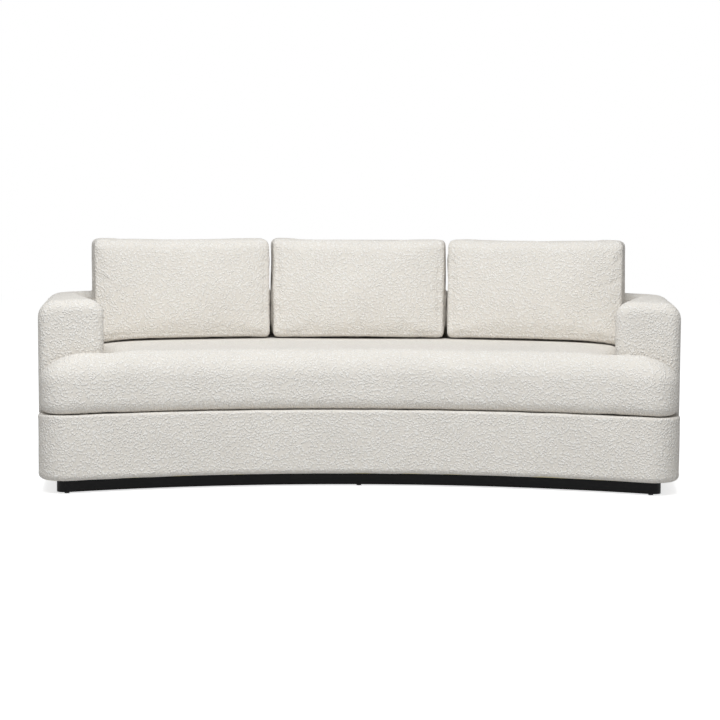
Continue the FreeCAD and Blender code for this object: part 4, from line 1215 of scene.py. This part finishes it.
@dataclass(frozen=True)
class Studio:
    """Plain pale surroundings: a white floor, a white world, and soft lamps above and in front."""

    distance: float = 6.0
    camera_height: float = 0.9396
    tilt: float = 0.0796
    swing: float = 0.0086
    roll: float = 0.0047
    ahead: float = 0.5177
    lens: float = 89.495
    sensor: float = 36.0
    floor_reach: float = 14.0
    floor_tone: str = "#CCCCCC"
    floor_glow: float = 0.72
    world_light: float = 0.27
    lamp_colour: tuple[float, float, float] = (0.965, 0.985, 1.0)

    def make_camera(self) -> None:
        """Set the camera at the photograph's viewing angle."""
        side, ahead = math.sin(self.swing), math.cos(self.swing)
        drop, level = math.sin(self.tilt), math.cos(self.tilt)
        forward = Vector((level * side, level * ahead, -drop))
        right = Vector((ahead, -side, 0))
        up = Vector((drop * side, drop * ahead, level))
        upright, leaning = math.cos(self.roll), math.sin(self.roll)
        right, up = right * upright + up * leaning, up * upright - right * leaning
        data = bpy.data.cameras.new("camera")
        data.lens = self.lens
        data.sensor_width = self.sensor
        data.sensor_fit = "HORIZONTAL"
        camera = bpy.data.objects.new("camera", data)
        bpy.context.scene.collection.objects.link(camera)
        place = Matrix((right, up, -forward)).transposed().to_4x4()
        place.translation = (-self.distance * side, -self.distance * ahead - self.ahead, self.camera_height)
        camera.matrix_world = place
        bpy.context.scene.camera = camera

    def make_floor(self) -> None:
        """Lay the floor: white to the camera and in reflections, while it keeps the sofa's shadow."""
        reach = self.floor_reach
        corners = np.array([(-reach, -reach, 0), (reach, -reach, 0), (reach, reach, 0), (-reach, reach, 0)])
        floor = linked_mesh("floor", corners, [(0, 1, 2, 3)])
        material, tree, _ = blank_material("white_floor")
        seen = seen_directly(tree)
        plain = add_node(tree, "BsdfDiffuse", {"Color": two_tones(tree, seen, self.floor_tone, "#FFFFFF")})
        glow = add_node(tree, "Math", {0: seen, 1: self.floor_glow}, operation="MULTIPLY")
        glow = add_node(tree, "Emission", {"Strength": glow.outputs[0]})
        finish_material(tree, add_node(tree, "AddShader", {0: plain.outputs[0], 1: glow.outputs[0]}))
        floor.data.materials.append(material)

    def make_light(self) -> None:
        """Hang a large soft lamp above and one in front, and light the rest from a white world."""
        for name, place, aim, size, power in (
            ("overhead_lamp", (-0.3, -0.9, 3.4), (0, -0.1, 0.3), 3.0, 14.0),
            ("front_lamp", (-0.3, -3.1, 4.2), (0, 0, 0.4), 3.0, 190.0),
        ):
            data = bpy.data.lights.new(name, "AREA")
            data.shape = "SQUARE"
            data.size = size
            data.energy = power
            data.color = self.lamp_colour
            lamp = bpy.data.objects.new(name, data)
            lamp.location = place
            lamp.rotation_euler = (Vector(aim) - Vector(place)).to_track_quat("-Z", "Y").to_euler()
            bpy.context.scene.collection.objects.link(lamp)
        world = bpy.data.worlds.new("white_room")
        bpy.context.scene.world = world
        world.use_nodes = True
        tree = world.node_tree
        tree.nodes.clear()
        seen = seen_directly(tree)
        strength = add_node(tree, "MapRange", {"Value": seen, "To Min": self.world_light, "To Max": 1.0})
        white = {"Color": linear("#FFFFFF"), "Strength": strength.outputs["Result"]}
        sky = add_node(tree, "Background", white)
        add_node(tree, "OutputWorld", {"Surface": sky.outputs[0]})

    def make(self) -> None:
        """Build the surroundings, and keep Blender's plain view of colours."""
        self.make_camera()
        self.make_floor()
        self.make_light()
        bpy.context.scene.view_settings.view_transform = "Standard"


def dress_nodes(frame: dict, finishes: dict[str, bpy.types.Material]) -> None:
    """Give every piece of the frame that stays in sight the material of its slot.

    Args:
        frame: The loaded frame.
        finishes: A material for each slot of the record.
    """
    slots = {part["node"]: part["material_slot"] for part in frame["record"]["subparts"]}
    for name, piece in frame["nodes"].items():
        piece.data.materials.clear()
        piece.data.materials.append(finishes[slots[name]])


def main(frame: dict) -> None:
    """Build the sofa's pieces in order, dress them, and set the studio."""
    boucle = BoucleCloth().make()
    finishes = {
        "boucle": boucle,
        # The stuffings' dark tones are painted shade in their pits.
        "upholstery_foam": CellularStuffing(
            "upholstery_foam", light="#EFE6C4", dark="#D8CB9F", cell_mm=1.8, depth_mm=0.5
        ).make(),
        "fibre_fill": CellularStuffing(
            "polyester_fibre", light="#F7F7F5", dark="#E2E2DF", cell_mm=3.2, depth_mm=1.2
        ).make(),
        "felt_pad": CellularStuffing(
            "needled_felt", light="#9A958C", dark="#6F6A62", cell_mm=2.4, depth_mm=0.6
        ).make(),
        "lining_cloth": WovenBand(
            "black_lining", light="#2A2A2B", dark="#141415", thread_mm=1.6, depth_mm=0.1
        ).make(),
        "elastic_webbing": WovenBand(
            "elastic_webbing", light="#4A4038", dark="#2B2521", thread_mm=3.0
        ).make(),
        "black_plinth": GrainedBoard(
            "black_painted_board",
            light="#0D0D0E",
            dark="#070707",
            grain_mm=4.0,
            stretch=10.0,
            roughness=0.55,
            depth_mm=0.05,
            gloss=0.15,
        ).make(),
        "glide_plastic": MouldedNylon().make(),
        "spring_steel": DrawnSteel().make(),
        "frame_wood": GrainedBoard("sawn_birch", light="#D9BD8E", dark="#B08D5C").make(),
    }
    dress_nodes(frame, finishes)
    plan = Plan()
    base = BaseUpholstery(plan)
    base.make(boucle)
    base.make_deck(boucle)
    ArmsAndBack(plan).make(boucle)
    SeatCushion(plan).make(boucle)
    for place in Place:
        BackCushion(plan, place).make(boucle)
    Studio().make()


if __name__ == "__main__":
    logging.basicConfig(level=logging.INFO, format="%(message)s")
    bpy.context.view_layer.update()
    main(frame)
